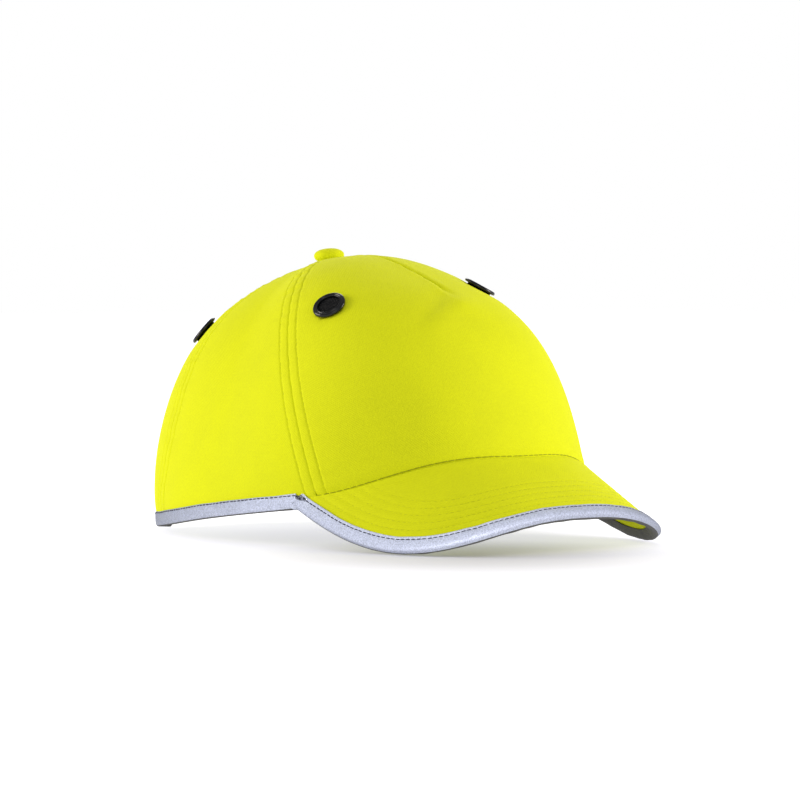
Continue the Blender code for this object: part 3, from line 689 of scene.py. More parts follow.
def seam_relief(distance, scale, run, seed):
    """Height in millimetres beside a seam: a turned-in valley, a groove of topstitching, puckers."""
    d = distance / scale
    valley = -0.42 * bump(d, 0.34) - 0.10 * bump(d, 1.1)
    puff = 0.13 * bump(d - 2.6, 1.6)
    groove = -0.46 * bump(d - TOPSTITCH, 0.38)
    wave = ripple(run, 11.0, seed)
    pucker = 0.15 * wave * bump(d, 8.5) + 0.17 * ripple(run, 4.2, seed + 1) * bump(d - 2.6, 2.4)
    return (valley + puff + groove) * np.sqrt(scale) + pucker * scale


def drape(points):
    """Gentle unevenness of cloth over the whole crown, in millimetres."""
    x, y, z = points[..., 0], points[..., 1], points[..., 2]
    return (0.30 * np.sin(x / 17.0 + 0.6 * np.sin(z / 23.0) + 0.4)
            + 0.26 * np.sin(y / 15.0 + z / 31.0 + 1.9)
            + 0.22 * np.sin((x - y) / 23.0 + z / 13.0 + 0.7))


EYELET_FRAMES = {tag: frame_on_crown(*place_at) for tag, place_at in EYELETS.items()}


def eyelet_press(points):
    """The cloth is pressed down under each eyelet's flange."""
    total = np.zeros(points.shape[:-1])
    for _, origin in EYELET_FRAMES.values():
        away = np.linalg.norm(points - origin, axis=-1)
        total = total - 0.45 * np.exp(-(away / 9.0) ** 6) - 0.15 * bump(away - 9.5, 2.5)
    return total


def punch(obj, tag):
    """Opens the cloth inside an eyelet and rounds the hole's edge."""
    turn, origin = EYELET_FRAMES[tag]
    centre, normal = Vector(origin * MM), Vector(turn[:, 2])
    radius = EYELET_HOLE * MM
    work = bmesh.new()
    work.from_mesh(obj.data)
    inside = [f for f in work.faces if (f.calc_center_median() - centre).length < radius]
    rim_points = {v for f in inside for v in f.verts}
    bmesh.ops.delete(work, geom=inside, context="FACES")
    for vertex in rim_points:
        if vertex.is_valid and vertex.link_faces:
            offset = vertex.co - centre
            flat = offset - normal * offset.dot(normal)
            vertex.co += flat.normalized() * radius - flat
    work.to_mesh(obj.data)
    work.free()


class Panel:
    """A crown panel: its grid, its seam distances and the piece itself."""

    def __init__(self, label, coarse, middle_count, side, seeds, relief=None):
        grid, near, far, scale = spread(coarse, middle_count, relief is not None)
        phi, theta, run = side * grid[..., 0], grid[..., 1], grid[..., 2]
        base = crown(phi, theta)
        lift = seam_relief(near, scale[None], np.broadcast_to(run[0], run.shape), seeds[0])
        lift = lift + seam_relief(far, scale[None], np.broadcast_to(run[-1], run.shape), seeds[1])
        lift = lift + drape(base) * smooth(0, 14, run) + eyelet_press(base)
        lift = lift - 0.18 * (1 - smooth(5.4, 7.5, run))
        if relief is not None:
            lift = lift + relief(base, near - far)
        self.points = base + crown_normal(phi, theta) * lift[..., None]
        self.near, self.far, self.scale = near, far, scale
        self.normals = outward_normals(self.points, MIDDLE)
        self.piece = sheet_object("fabric_" + label, self.points, YELLOW, FABRIC * 0.8, MIDDLE,
                                  ((near - far) / 2, run))
        kind, _, hand = label.partition("_")
        carry(self.piece, "cap", "fabric", kind + "_panel" + ("_" + hand if hand else ""))

    def declare(self, width, length):
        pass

    def line(self, distance, from_far):
        """The track on the cloth at this distance from one seam, closing in near the button."""
        order = slice(None, None, -1 if from_far else 1)
        table = (self.far if from_far else self.near)[order]
        found = [[np.interp(distance * self.scale[r], table[:, r], a[order][:, r, k])
                  for a in (self.points, self.normals) for k in range(3)]
                 for r in range(table.shape[1])]
        found = np.array(found)
        return found[:, :3], unit(found[:, 3:])


def start_between(phi_of):
    """Finds where a column starts, 0.6 mm above the crown's lower edge."""
    def start_of(share):
        start = 0.15
        for _ in range(7):
            start = float(lower_theta(float(phi_of(np.array(start), share)), 0.6))
        return start
    return start_of


def side_azimuth(theta, share):
    low, high = seam_azimuth(SEAM_FRONT, theta), seam_azimuth(SEAM_REAR, theta)
    return low + (high - low) * share


def front_azimuth(theta, share):
    return seam_azimuth(SEAM_FRONT, theta) * (2 * share - 1)


def arch_edge(share):
    """The rear opening's edge as (phi, theta): share 0 is its foot at the rim, 1 its top."""
    angle = np.asarray(share, float) * math.pi / 2
    bend = np.maximum(np.cos(angle), 0.0) ** ARCH_POWER
    phi = math.pi - math.radians(ARCH_HALF_ANGLE) * bend
    height = rim_height(phi) + 1.0 + (ARCH_HEIGHT - 1.0) * np.sin(angle) ** ARCH_POWER
    return phi, theta_at(phi, height)


ARCH_FOOT = float(arch_edge(0.0)[0])
RIM_PART = 3 / 11  # the share of the rear panel's lower edge that runs along the rim
SHARE_POWER = 0.9


def rear_lower(share):
    """The rear panel's lower edge: along the rim, then up the rear opening."""
    part = share ** (1 / SHARE_POWER)
    if part < RIM_PART:
        seam = float(seam_azimuth(SEAM_REAR, 0.0))
        phi = seam + (ARCH_FOOT - seam) * part / RIM_PART
        return phi, float(lower_theta(phi, 0.6))
    phi, theta = arch_edge((part - RIM_PART) / (1 - RIM_PART))
    return float(phi), float(theta)


def rear_azimuth(theta, share):
    low_phi, low_theta = rear_lower(share)
    seam = seam_azimuth(SEAM_REAR, theta)
    even = seam + (math.pi - seam) * share
    if share == 0:
        return even
    return low_phi + (even - low_phi) * smooth(low_theta, low_theta + 0.75, theta)


def front_relief(base, across):
    """The front panel's dart, the pucker at its end, a soft fold, and the tuck over the peak."""
    x, y = base[..., 0], base[..., 1]
    end = crown(0.0, theta_of_rise(0.0, DART_END))
    away = across / 2
    sewn = smooth(end[1] - 1.0, end[1] + 5.0, y)
    valley = (-0.95 * bump(away, 0.42) - 0.30 * bump(away, 1.5)
              + 0.22 * bump(np.abs(away) - 2.6, 1.5)) * sewn
    valley = valley + 0.12 * ripple(y, 8.0, 31) * bump(away, 5.0) * sewn
    start = end + np.array([-0.5, -1.0, -0.5])
    pucker = -0.7 * np.exp(-(x / 2.2) ** 2 - ((y - start[1]) / 4.5) ** 2)
    crest = np.exp(-((x - 2.0) / 9.0) ** 2 - ((y - start[1] + 9.0) / 8.0) ** 2)
    along = unit(np.array([-38.0, -48.0, 93.0]) - start)
    offset = base - start
    t = offset @ along
    sideways = np.linalg.norm(offset - t[..., None] * along, axis=-1)
    below = offset[..., 2] * -along[0] + offset[..., 0] * along[2] < 0
    fold = smooth(0, 8, t) * (1 - smooth(26, 48, t))
    crease = fold * (-0.8 * bump(sideways, 5.5) + 0.6 * bump(sideways - 9.0, 6.0) * below)
    above = above_peak(base)
    tuck = -0.95 * (1 - smooth(-0.3, 1.7, above)) + 0.12 * bump(above - 3.2, 1.3)
    return valley + pucker + crest + crease + tuck


def crown_panels():
    """The five panels and their topstitching."""
    shares = np.linspace(0, 1, 33)
    front = tracks(shares, front_azimuth, start_between(front_azimuth), 108)
    made = {"front": Panel("front", front, 76, 1, (5, 3), front_relief)}
    side = tracks(shares, side_azimuth, start_between(side_azimuth), 108)
    rim_end = RIM_PART ** SHARE_POWER
    rear_shares = np.concatenate([np.linspace(0, rim_end, 10), np.linspace(rim_end, 1, 26)[1:]])
    rear = tracks(rear_shares, rear_azimuth, lambda s: rear_lower(s)[1], 92)
    for hand, sign, seeds in (("right", 1, (3, 7)), ("left", -1, (5, 9))):
        made["side_" + hand] = Panel("side_" + hand, side, 36, sign, seeds)
        made["rear_" + hand] = Panel("rear_" + hand, rear, 26, sign, (seeds[1], 13))
    for tag in EYELETS:
        punch(made["front" if tag.startswith("front") else tag].piece, tag)
    made["front"].declare(0.215, 0.190)
    for hand in ("right", "left"):
        made["side_" + hand].declare(0.135, 0.190)
        made["rear_" + hand].declare(0.085, 0.175)
    thread = Thread("topstitching_crown", THREAD)
    for panel in made.values():
        for from_far in (False, True):
            thread.line(*panel.line(TOPSTITCH, from_far), 2.7, 2.1, 0.17, -0.02)
    thread.finish("cap", "fabric")


crown_panels()


# ---------------------------------------------------------------- the peak

STITCH_ROWS = (10.2, 14.3, 18.4, 22.5, 26.6)
PEAK_SHARE = 0.985  # how much of the way to each corner the peak's cloth and tape reach


def edge_track():
    """The peak's edge from corner to corner at even distances: points, normals and shares."""
    shares = np.linspace(-CORNER_SHARE, CORNER_SHARE, 2400)
    points, normals = peak(*outline(shares))
    return resample(points, 721, normals, shares)


EDGE_POINTS, EDGE_NORMALS, EDGE_SHARES = edge_track()


def edge_distance(points):
    """Distance in millimetres from each point to the peak's edge."""
    flat = points.reshape(-1, 3)
    best = np.full(len(flat), 1e9)
    for start in range(0, len(EDGE_POINTS), 120):
        block = EDGE_POINTS[start:start + 120]
        best = np.minimum(best, np.linalg.norm(flat[:, None] - block[None], axis=-1).min(1))
    return best.reshape(points.shape[:-1])


def peak_grid(columns, rows, inset, drop, root_in):
    """Points of a layer of the peak, from inside the crown's seam to the inset edge."""
    parts = np.linspace(-1, 1, columns) * PEAK_SHARE
    phi = -parts * CORNER
    root = crown(phi, joint_theta(phi, drop), root_in)
    root_forward = FORWARD_SHIFT - root[:, 1]
    index = (parts + 1) / 2 * (len(EDGE_SHARES) - 1)
    x, forward = outline(np.interp(index, np.arange(len(EDGE_SHARES)), EDGE_SHARES))
    pull = np.hypot(x - root[:, 0], forward - root_forward)
    keep = np.maximum(1 - inset / np.maximum(pull, 1e-6), 0.15)
    x = root[:, 0] + (x - root[:, 0]) * keep
    forward = root_forward * (1 - keep) + forward * keep
    share = np.linspace(0, 1, rows)
    points, normals = peak(root[:, 0, None] + (x - root[:, 0])[:, None] * share,
                           root_forward[:, None] + (forward - root_forward)[:, None] * share)
    return points - normals * drop, normals, points


def row_relief(edge, across):
    """Grooves of the stitching rows, and the cloth rising softly between them."""
    total = np.zeros_like(edge)
    for k, inset in enumerate(STITCH_ROWS):
        total = total - 0.30 * bump(edge - inset, 0.42)
        total = total + 0.05 * ripple(across, 5.0, 40 + k) * bump(edge - inset - 2.0, 1.8)
    return total


def rows_on(thread, points, normals, edge):
    """Stitches along each row: where each column passes the row's distance from the edge."""
    for inset in STITCH_ROWS:
        track = []
        for c in range(points.shape[0]):
            table = edge[c, ::-1]
            if table[0] < inset < table[-1] - 0.8:
                track.append([np.interp(inset, table, a[c, ::-1, k])
                              for a in (points, normals) for k in range(3)])
        if len(track) > 8:
            track = np.array(track)
            thread.line(track[:, :3], unit(track[:, 3:]), 2.6, 2.08, 0.17, -0.06)


def peak_cover(thread, label, drop, root_in, flip):
    """One face of the peak's cloth: flip is 1 on the top face and -1 on the bottom face."""
    points, normals, top = peak_grid(170, 84, 1.2, drop, root_in)
    edge = edge_distance(top)
    across = np.broadcast_to(points[:, :1, 0], edge.shape)
    away = np.linalg.norm(points - points[:, :1], axis=-1)
    lift = row_relief(edge, across) + 0.20 * np.sin(points[..., 0] / 13.0 + points[..., 1] / 19.0)
    lift = lift * smooth(0, 4, away) - 0.22 * (1 - smooth(5.6, 7.4, edge))
    if flip > 0:
        lift = lift - 0.9 * bump(away - 1.2, 0.9) + 0.15 * bump(away - 4.4, 1.6)
    else:
        lift = lift + 0.55
    points = points + normals * lift[..., None] * flip
    inner = np.array([0.0, -60.0, -400.0 * flip])
    piece = sheet_object("fabric_peak_" + label, points, YELLOW, COVER * 0.8, inner, (across, away))
    carry(piece, "cap", "fabric", "peak_cover_" + label)
    rows_on(thread, points, outward_normals(points, inner), edge)


def peak_covers():
    thread = Thread("peak_stitching", THREAD)
    peak_cover(thread, "top", 0.0, 1.4, 1)
    peak_cover(thread, "bottom", 2.5, 0.2, -1)
    thread.finish("cap", "fabric")

    # The seam's stitches, in the dark olive thread that is painted shade of the crease above the peak
    phi = np.linspace(-1, 1, 220) * CORNER * PEAK_SHARE
    theta = joint_theta(phi)
    points = crown(phi, theta, 0.75)
    points[:, 2] += 0.30
    seam = Thread("peak_seam_stitching", SEAM_THREAD_PAINTED_SHADE)
    seam.line(points, crown_normal(phi, theta), 3.2, 3.3, 0.22, -0.1)
    seam.finish("cap", "fabric")


peak_covers()


# ---------------------------------------------------------------- edge binding

# Stretches of a binding section's points, counted from the inner end of its upper face
UPPER = slice(0, 13)
HEM = slice(0, 7)
GROOVE = 4
# FRONT_EDGE (on a thin tape) and BELOW also pick the faces that take the dark painted-shade material
FRONT_EDGE = slice(10, 15)
BELOW = slice(15, 31)
UNDER = slice(17, None)
# A tape round less than this has its front edge in the dark painted shade too
THIN = 1.8  # tape round less than this shows no pale front edge
RIM_DROP = 0.8


def binding_section(below, width=BINDING_WIDTH):
    """A folded tape round an edge, as (inward, outward) points in millimetres."""
    under = -below
    seat = 0.62 + 0.88 * min(max((below - 1.0) / 2.0, 0.0), 1.0)
    outer = [(width, 0.10), (width - 0.05, 0.34), (width - 0.30, 0.46),
             (width - seat + 0.32, 0.45), (width - seat, 0.30), (width - seat - 0.4, 0.50),
             (width - 3.2, 0.62), (width - 4.4, 0.66),
             (1.0, 0.62), (0.45, 0.50), (0.0, 0.22), (-0.30, -0.10), (-0.48, -0.50)]
    edge = [(-0.52, -0.9 - k * (below - 1.0) / 3) for k in range(4)]
    lower = [(-0.38, under - 0.25), (-0.1, under - 0.55), (0.4, under - 0.78),
             (1.2, under - 0.86), (2.6, under - 0.84), (4.2, under - 0.76),
             (width - 1.4, under - 0.6), (width - 0.5, under - 0.62), (width - 0.2, under - 0.45),
             (width - 0.4, under - 0.28), (3.0, under - 0.34), (0.7, under - 0.32),
             (0.12, under + 0.02)]
    inner = [(0.0, -0.5 * below), (0.15, -0.15), (0.7, 0.16), (3.0, 0.12)]
    return outer + edge + lower + inner


def meeting(a, a_before, b, b_before):
    """Where two edges would meet if each ran straight on."""
    along, other = unit(a - a_before), unit(b - b_before)
    lean = along @ other
    gap = b - a
    s = (gap @ along - lean * (gap @ other)) / (1 - lean * lean)
    t = (lean * (gap @ along) - gap @ other) / (1 - lean * lean)
    return (a + along * s + b + other * t) / 2


def edge_path():
    """The whole edge: left rim, peak, right rim, with how thick an edge each point folds round."""
    phi = np.linspace(ARCH_FOOT + 0.013, CORNER + 0.05, 260)
    theta = theta_at(phi, rim_height(phi) + 0.02)
    sides = []
    for side in (-1, 1):
        points = crown(side * phi, theta)
        points[:, 2] -= RIM_DROP * bump(phi - 2.1, 0.34)
        sides.append((points, crown_normal(side * phi, theta + 0.02), np.full(len(phi), FABRIC)))
    left, right = sides[0], tuple(a[::-1] for a in sides[1])
    keep = np.abs(EDGE_SHARES) < CORNER_SHARE * PEAK_SHARE
    order = EDGE_POINTS[keep][:, 0].argsort()[::-1]
    front = (EDGE_POINTS[keep][order], EDGE_NORMALS[keep][order],
             np.full(keep.sum(), PEAK_THICK - 0.1))
    blocks = [left]
    corner_at = []
    for near, beyond, reach in ((left, front, 8), (front, right, 9)):
        tip = meeting(near[0][-1], near[0][-reach], beyond[0][0], beyond[0][8])
        corner_at.append(sum(len(block[0]) for block in blocks))
        normal = unit(near[1][-1:] + beyond[1][:1])
        blocks += [(tip[None], normal, np.array([2.0])), beyond]
    points, normals, thick = [np.concatenate(parts) for parts in zip(*blocks)]
    run = run_of(points)
    corners = run[corner_at]
    points, normals, thick = resample(points, int(run[-1] / 0.9), normals, thick)
    run = run_of(points)
    near = np.exp(-np.abs(run[:, None] - corners).min(1) ** 2 / 60.0)[:, None]
    points = points + (blur(points, run, 1.6) - points) * near
    normals = unit(normals + (blur(normals, run, 3.0) - normals) * near)
    return points, normals, blur(thick, run, 3.0), run


def inward_of(points, normals, middle):
    inward = unit(np.cross(normals, unit(np.gradient(points, axis=0))))
    flip = np.sign((inward * (middle - points)).sum(-1))
    return inward * np.where(flip == 0, 1, flip)[:, None]


def bind(name, points, normals, inward, thick, run, seed, *nodes):
    """A binding piece, and the groove that its thread lies in."""
    sections = np.array([binding_section(t) for t in thick])
    sections[:, UPPER, 1] += 0.07 * ripple(run, 9.0, seed)[:, None] * np.linspace(1, 0, 13)
    pulls = 0.05 * np.sin(run / 3.0 * 2 * math.pi)[:, None]
    sections[:, HEM, 1] += pulls * bump(np.arange(7) - GROOVE, 1.6)
    sections[:, HEM, 0] += 0.14 * ripple(run, 23.0, seed + 1)[:, None]
    sections[:, UNDER, 1] += 0.12 * ripple(run, 14.0, seed + 2)[:, None]
    piece = swept(name, points, inward, normals, sections, SILVER)
    # Painted shade: faces under the fold, and a thin tape's front edge, get the dark material
    shade = np.zeros((len(points) - 1, sections.shape[1]), bool)
    shade[:, BELOW] = True
    shade[:, FRONT_EDGE] = (thick[:-1] < THIN)[:, None]
    shade = np.concatenate([shade.ravel(), [False, False]])
    piece.data.materials.append(SILVER_PAINTED_SHADE)
    piece.data.polygons.foreach_set("material_index", shade.astype(np.int32))
    carry(piece, "cap", "reflective", *nodes)
    return piece, points + inward * sections[:, GROOVE, :1] + normals * sections[:, GROOVE, 1:2]


def bindings():
    thread = Thread("binding_stitching", GREY_THREAD)
    points, normals, thick, run = edge_path()
    inward = inward_of(points, normals, np.array([0.0, FORWARD_SHIFT - 40.0, 95.0]))
    piece, groove = bind("edge_ribbon", points, normals, inward, thick, run, 51,
                         "binding_crown_right", "binding_crown_left", "binding_peak")
    thread.line(groove, normals, 2.5, 2.3, 0.26, 0.02)

    phi, theta = arch_edge(np.linspace(0.012, 1, 120))
    phi = np.concatenate([phi, -phi[-2::-1]])
    theta = np.concatenate([theta, theta[-2::-1]])
    points, normals = resample(crown(phi, theta), 230, crown_normal(phi, theta))
    run = run_of(points)
    normals = unit(blur(normals, run, 3.0))
    inward = -inward_of(points, normals, np.array([0.0, FORWARD_SHIFT + 100.0, 8.0]))
    points = points - inward
    piece, groove = bind("rear_opening_ribbon", points, normals, inward,
                         np.full(len(points), FABRIC), run, 61, "binding_rear_opening")
    low = (float(rim_height(phi[0])) + 0.6) * MM
    for vertex in piece.data.vertices:
        vertex.co.z = max(vertex.co.z, low)
    thread.line(groove, normals, 2.5, 2.15, 0.24, 0.02)
    thread.finish("cap", "reflective")


bindings()


# ---------------------------------------------------------------- eyelets and button

# Radius and height of an eyelet ring's outline
RING_PROFILE = np.array([
    (5.35, -4.2), (5.35, 0.9), (5.40, 1.28), (5.54, 1.50), (5.72, 1.50), (5.86, 1.28),
    (6.02, 1.16), (6.20, 1.22), (6.45, 1.48), (6.75, 1.64), (7.05, 1.60), (7.40, 1.34),
    (7.64, 1.00), (7.74, 0.66), (7.70, 0.30),
    (7.30, 0.05), (5.85, 0.0), (5.85, -3.8), (6.75, -3.8), (6.80, -4.0), (6.60, -4.2),
])
SCREEN_RADIUS, SCREEN_HEIGHT = 5.38, 0.45
WIRE_SPACING, WIRE_RADIUS, WIRE_SIDES, WIRE_STEPS = 0.76, 0.16, 5, 25


def eyelet_ring(tag, turn, origin):
    angle = np.linspace(0, 2 * math.pi, 72, endpoint=False)
    radius, height = RING_PROFILE.T
    points = round_grid(radius[None], height[None], angle) @ turn.T + origin
    faces = grid_faces(*points.shape[:2], True, True)
    ring = make_object("grommet_" + tag, points, faces, BLACK,
                       (angle[:, None] * 7.0, run_of(RING_PROFILE)[None]))
    close_up(ring, True)
    carry(ring, "cap", "eyelet", "eyelet_ring_" + tag)


def eyelet_screen(tag, turn, origin):
    """A fine woven screen: two sets of wires passing over and under, clipped to a circle."""
    around = 2 * math.pi * np.arange(WIRE_SIDES)[:, None] / WIRE_SIDES
    points, faces = [], []
    for axis in (0, 1):
        side = np.array([axis, 1 - axis, 0.0])
        for k, place in enumerate(np.arange(-6, 7) * WIRE_SPACING):
            half = math.sqrt(max(SCREEN_RADIUS ** 2 - place ** 2, 0.01))
            t = np.linspace(-half, half, WIRE_STEPS)
            lift = 0.13 * np.cos(t / WIRE_SPACING * math.pi + math.pi * (k + axis))
            line = np.stack([t, np.full_like(t, place), lift], -1)
            line = line[:, [axis, 1 - axis, 2]]
            ring = side * np.cos(around) * WIRE_RADIUS + UP * np.sin(around) * WIRE_RADIUS
            faces += tube_faces(WIRE_STEPS, WIRE_SIDES, len(points) * WIRE_STEPS * WIRE_SIDES)
            points.append(line[:, None] + ring[None])
    origin = origin + turn[:, 2] * SCREEN_HEIGHT
    screen = make_object("screen_" + tag, np.concatenate(points) @ turn.T + origin, faces, BLACK)
    close_up(screen)
    carry(screen, "cap", "eyelet", "eyelet_mesh_" + tag)


def button():
    """A fabric-covered dome, gathered a little round its base."""
    profile = [(BUTTON_RADIUS * math.sin(a) ** 0.85, 2.0 + (BUTTON_HEIGHT - 2.0) * math.cos(a) ** 0.95)
               for a in (math.pi / 2 * k / 25 for k in range(26))]
    profile += [(BUTTON_RADIUS * math.cos(a) ** 0.8, 2.0 - 3.4 * math.sin(a))
                for a in (math.radians(5.2 * k) for k in range(1, 13))]
    profile = np.array(profile + [(3.6, -1.6), (3.5, -2.6)])
    around = np.linspace(0, 2 * math.pi, 96, endpoint=False)
    pucker = np.cos(around * 11 + 0.8 * np.sin(around * 3)) + 0.6 * np.cos(around * 17 + 1.0)
    low = 1 - smooth(0.6, 3.6, profile[:, 1])
    radius = profile[None, :, 0] * (1 + 0.010 * pucker[:, None] * low)
    radius = radius * (1 + 0.006 * np.cos(2 * around + 0.5))[:, None]
    local = round_grid(radius, profile[None, :, 1], around)
    local[..., 2] += 0.06 * np.sin(local[..., 0] / 2.6 + 0.7) * np.cos(local[..., 1] / 3.1)
    turn = np.array(Matrix.Rotation(math.radians(-BUTTON_LEAN), 3, "X"))
    points = local @ turn.T + np.array([0.0, TOP[1], TOP[2] + 1.5])
    piece = make_object("button_cover", points, grid_faces(*points.shape[:2], True), YELLOW,
                        (local[..., 0], local[..., 1]))
    close_up(piece, True)
    carry(piece, "cap", "fabric", "top_button")


for eyelet_tag, (eyelet_turn, eyelet_origin) in EYELET_FRAMES.items():
    eyelet_ring(eyelet_tag, eyelet_turn, eyelet_origin)
    eyelet_screen(eyelet_tag, eyelet_turn, eyelet_origin)
button()


# ---------------------------------------------------------------- sweatband and seam tapes

BAND_END = math.radians(129.0)
BAND_HEIGHT = 30.0
BAND_OUTER, BAND_INNER = 9, 25  # points up a section's outer and inner face
BAND_SEAMS = (0.13, 0.90)
TAPE_HALF = 4.4


def sweatband():
    """A padded band sewn inside the lower edge, folded over top and bottom."""
    phi = BAND_END * np.linspace(-1, 1, 300)
    foot = crown(phi, lower_theta(phi, 2.0))[:, 2]
    heights = np.concatenate([np.linspace(0.02, 0.98, BAND_OUTER), [1.0],
                              np.linspace(0.98, 0.02, BAND_INNER), [0.0]])
    run = run_of(crown(phi, theta_at(phi, foot + 10.0)))
    rings = []
    for k, share in enumerate(heights):
        if k < BAND_OUTER:
            inset = 3.05 + 0.5 * (2 * share - 1) ** 6
        elif share in (0.0, 1.0):
            inset = 4.1
        else:
            hems = sum(0.42 * bump(share - seam, 0.03) for seam in BAND_SEAMS)
            wave = 0.22 * ripple(run, 13.0, 70) * bump(share - 0.1, 0.25)
            inset = 4.95 + 0.55 * math.sin(math.pi * share) ** 0.5 - hems + wave
        inset = np.broadcast_to(inset, phi.shape)
        rings.append(crown(phi, theta_at(phi, foot + BAND_HEIGHT * share, inset), inset))
    points = np.stack(rings, 1)
    piece = make_object("sweatband_cover", points, tube_faces(*points.shape[:2]), LINING,
                        (run[:, None], (heights * BAND_HEIGHT)[None]))
    close_up(piece)
    carry(piece, "cap", "lining", "sweatband")
    thread = Thread("sweatband_stitching", THREAD)
    for seam in BAND_SEAMS:
        inner = heights[BAND_OUTER + 1:-1]
        track = points[:, BAND_OUTER + 1 + int(np.abs(inner - seam).argmin())]
        inwards = unit(np.array([0.0, FORWARD_SHIFT, 20.0]) - track)
        thread.line(track, inwards, 3.0, 2.4, 0.2, 0.0)
    thread.finish("cap", "lining")


def seam_tape(thread, label, side, seam):
    """A narrow tape over one seam's allowances; None stands for the seam at the centre rear."""
    def azimuth(theta, share):
        phi = seam_azimuth(seam, theta) if seam else np.full_like(theta, math.pi)
        point = crown(phi, theta)
        radius = np.maximum(np.hypot(point[:, 0] - TOP[0], point[:, 1] - TOP[1]), 8.0)
        step = (crown(phi + 0.01, theta) - point)[:, :2]
        local = np.maximum(np.hypot(step[:, 0], step[:, 1]) / 0.01, 8.0)
        return phi + share * TAPE_HALF / np.maximum(np.minimum(local, 130.0), radius * 0.3)

    if seam:
        start = float(lower_theta(math.radians(seam[0]), 9.0))
    else:
        start = float(arch_edge(1.0)[1]) + 0.1
    shares = np.linspace(-1, 1, 11)
    grid = tracks(shares, azimuth, lambda _: start, 90, 1.9, 13.0)
    phi, theta, run = side * grid[..., 0], grid[..., 1], grid[..., 2]
    dome = 0.12 * (1 - shares ** 2) - 0.12 * bump(np.abs(shares) - 0.8, 0.12)
    normals = crown_normal(phi, theta)
    points = crown(phi, theta, 1.95) - normals * dome[:, None, None]
    piece = sheet_object("tape_" + label, points, TAPE, 0.5, MIDDLE,
                         (shares[:, None] * TAPE_HALF, run))
    carry(piece, "cap", "tape", "seam_tape_" + label)
    inner = points - normals * 0.5
    for column in (1, 9):
        thread.line(inner[column], -normals[column], 3.0, 2.3, 0.16, 0.0)


def seam_tapes():
    """Tapes that cover the seam allowances inside, each with two rows of stitches."""
    thread = Thread("tape_stitching", GREY_THREAD)
    for end, seam in (("front", SEAM_FRONT), ("rear", SEAM_REAR)):
        seam_tape(thread, end + "_right", 1, seam)
        seam_tape(thread, end + "_left", -1, seam)
    seam_tape(thread, "centre", 1, None)
    thread.finish("cap", "tape")


sweatband()
seam_tapes()


# ---------------------------------------------------------------- shell and pads

SHELL_INSET, SHELL_REAR_EASE, SHELL_THICK = 7.0, 4.2, 2.2
# Azimuth and share of the crown's rise at each ventilation slot
SLOTS = ((25, 0.80), (-25, 0.80), (62, 0.70), (-62, 0.70), (100, 0.72), (-100, 0.72),
         (140, 0.66), (-140, 0.66), (180, 0.62), (0, 0.62))
SLOT_RADIUS, SLOT_HALF, SLOT_DEPTH, SLOT_SIDES = 3.4, 7.0, 8.0, 28


def shell_inset(phi, theta):
    azimuth = np.degrees(np.arccos(np.cos(phi)))
    low = 1 - smooth(0.75, 1.2, theta)
    return SHELL_INSET + SHELL_REAR_EASE * smooth(105, 140, azimuth) * low


def slot_cutters():
    """Ten rounded bars, one through each ventilation slot, as one helper object."""
    angle = 2 * math.pi * np.arange(SLOT_SIDES) / SLOT_SIDES
    across = SLOT_RADIUS * np.cos(angle) + np.copysign(SLOT_HALF, np.cos(angle))
    points, faces = [], []
    for k, (azimuth, rise) in enumerate(SLOTS):
        turn, origin = frame_on_crown(azimuth, rise)
        for depth in (-SLOT_DEPTH, SLOT_DEPTH):
            local = np.stack([across, SLOT_RADIUS * np.sin(angle), 0 * angle + depth], -1)
            points.append(local @ turn.T + origin - turn[:, 2] * SHELL_INSET)
        faces += tube_faces(2, SLOT_SIDES, 2 * k * SLOT_SIDES)
    cutters = make_object("slot_cutters", points, faces, SHELL)
    close_up(cutters)
    return cutters


def apply_all(obj):
    """Turns the piece's modifiers into its mesh."""
    graph = bpy.context.evaluated_depsgraph_get()
    graph.update()
    mesh = bpy.data.meshes.new_from_object(obj.evaluated_get(graph))
    obj.modifiers.clear()
    obj.data = mesh


def impact_shell():
    """A moulded shell with a rolled edge, a raised band round it, and ten slots."""
    columns, rows = 150, 46
    around = np.linspace(-math.pi, math.pi, columns, endpoint=False)
    edge = 50.0 + 6.0 * np.sin(around) ** 2 + 4.0 * np.maximum(np.cos(around), 0.0) ** 2
    starts = theta_at(around, edge, shell_inset(around, np.full(columns, 0.3)))
    grid = np.array([tracks([phi], np.full_like, lambda _, b=start: b, rows, SHELL_INSET, 9.0)[0]
                     for phi, start in zip(around, starts)])
    azimuth, theta, run = grid[..., 0], grid[..., 1], grid[..., 2]
    points = crown(azimuth, theta, shell_inset(azimuth, theta))
    normals = outward_normals(np.concatenate([points, points[:1]]), MIDDLE)[:-1]
    step = 0.5 * smooth(7.0, 8.5, run) * (1 - smooth(0.93, 0.97, theta / (math.pi / 2)))
    points = points + normals * (step - 0.25 + 0.3 * bump(run - 0.8, 1.0))[..., None]
    faces = face_out(points, grid_faces(columns, rows, True), MIDDLE)
    piece = make_object("impact_shell", points, faces, SHELL, (azimuth * 70.0, run))
    thicken(piece, SHELL_THICK)
    knife = slot_cutters()
    slots = piece.modifiers.new("slots", "BOOLEAN")
    slots.operation = "DIFFERENCE"
    slots.solver = "EXACT"
    slots.object = knife
    apply_all(piece)
    bpy.data.objects.remove(knife, do_unlink=True)
    piece.data.shade_smooth()
    piece.data.set_sharp_from_angle(angle=math.radians(38))
    carry(piece, "liner", "shell", "bump_shell")


SWELL_FRAMES = 20
SWELL_LIMIT = 0.9 * MM
PAD_SHRINK = 0.7 * MM
PAD_VOXEL = 2.2 * MM


def read_points(mesh, kind="co"):
    values = np.empty(len(mesh.vertices) * 3)
    mesh.vertices.foreach_get(kind, values)
    return values.reshape(-1, 3)


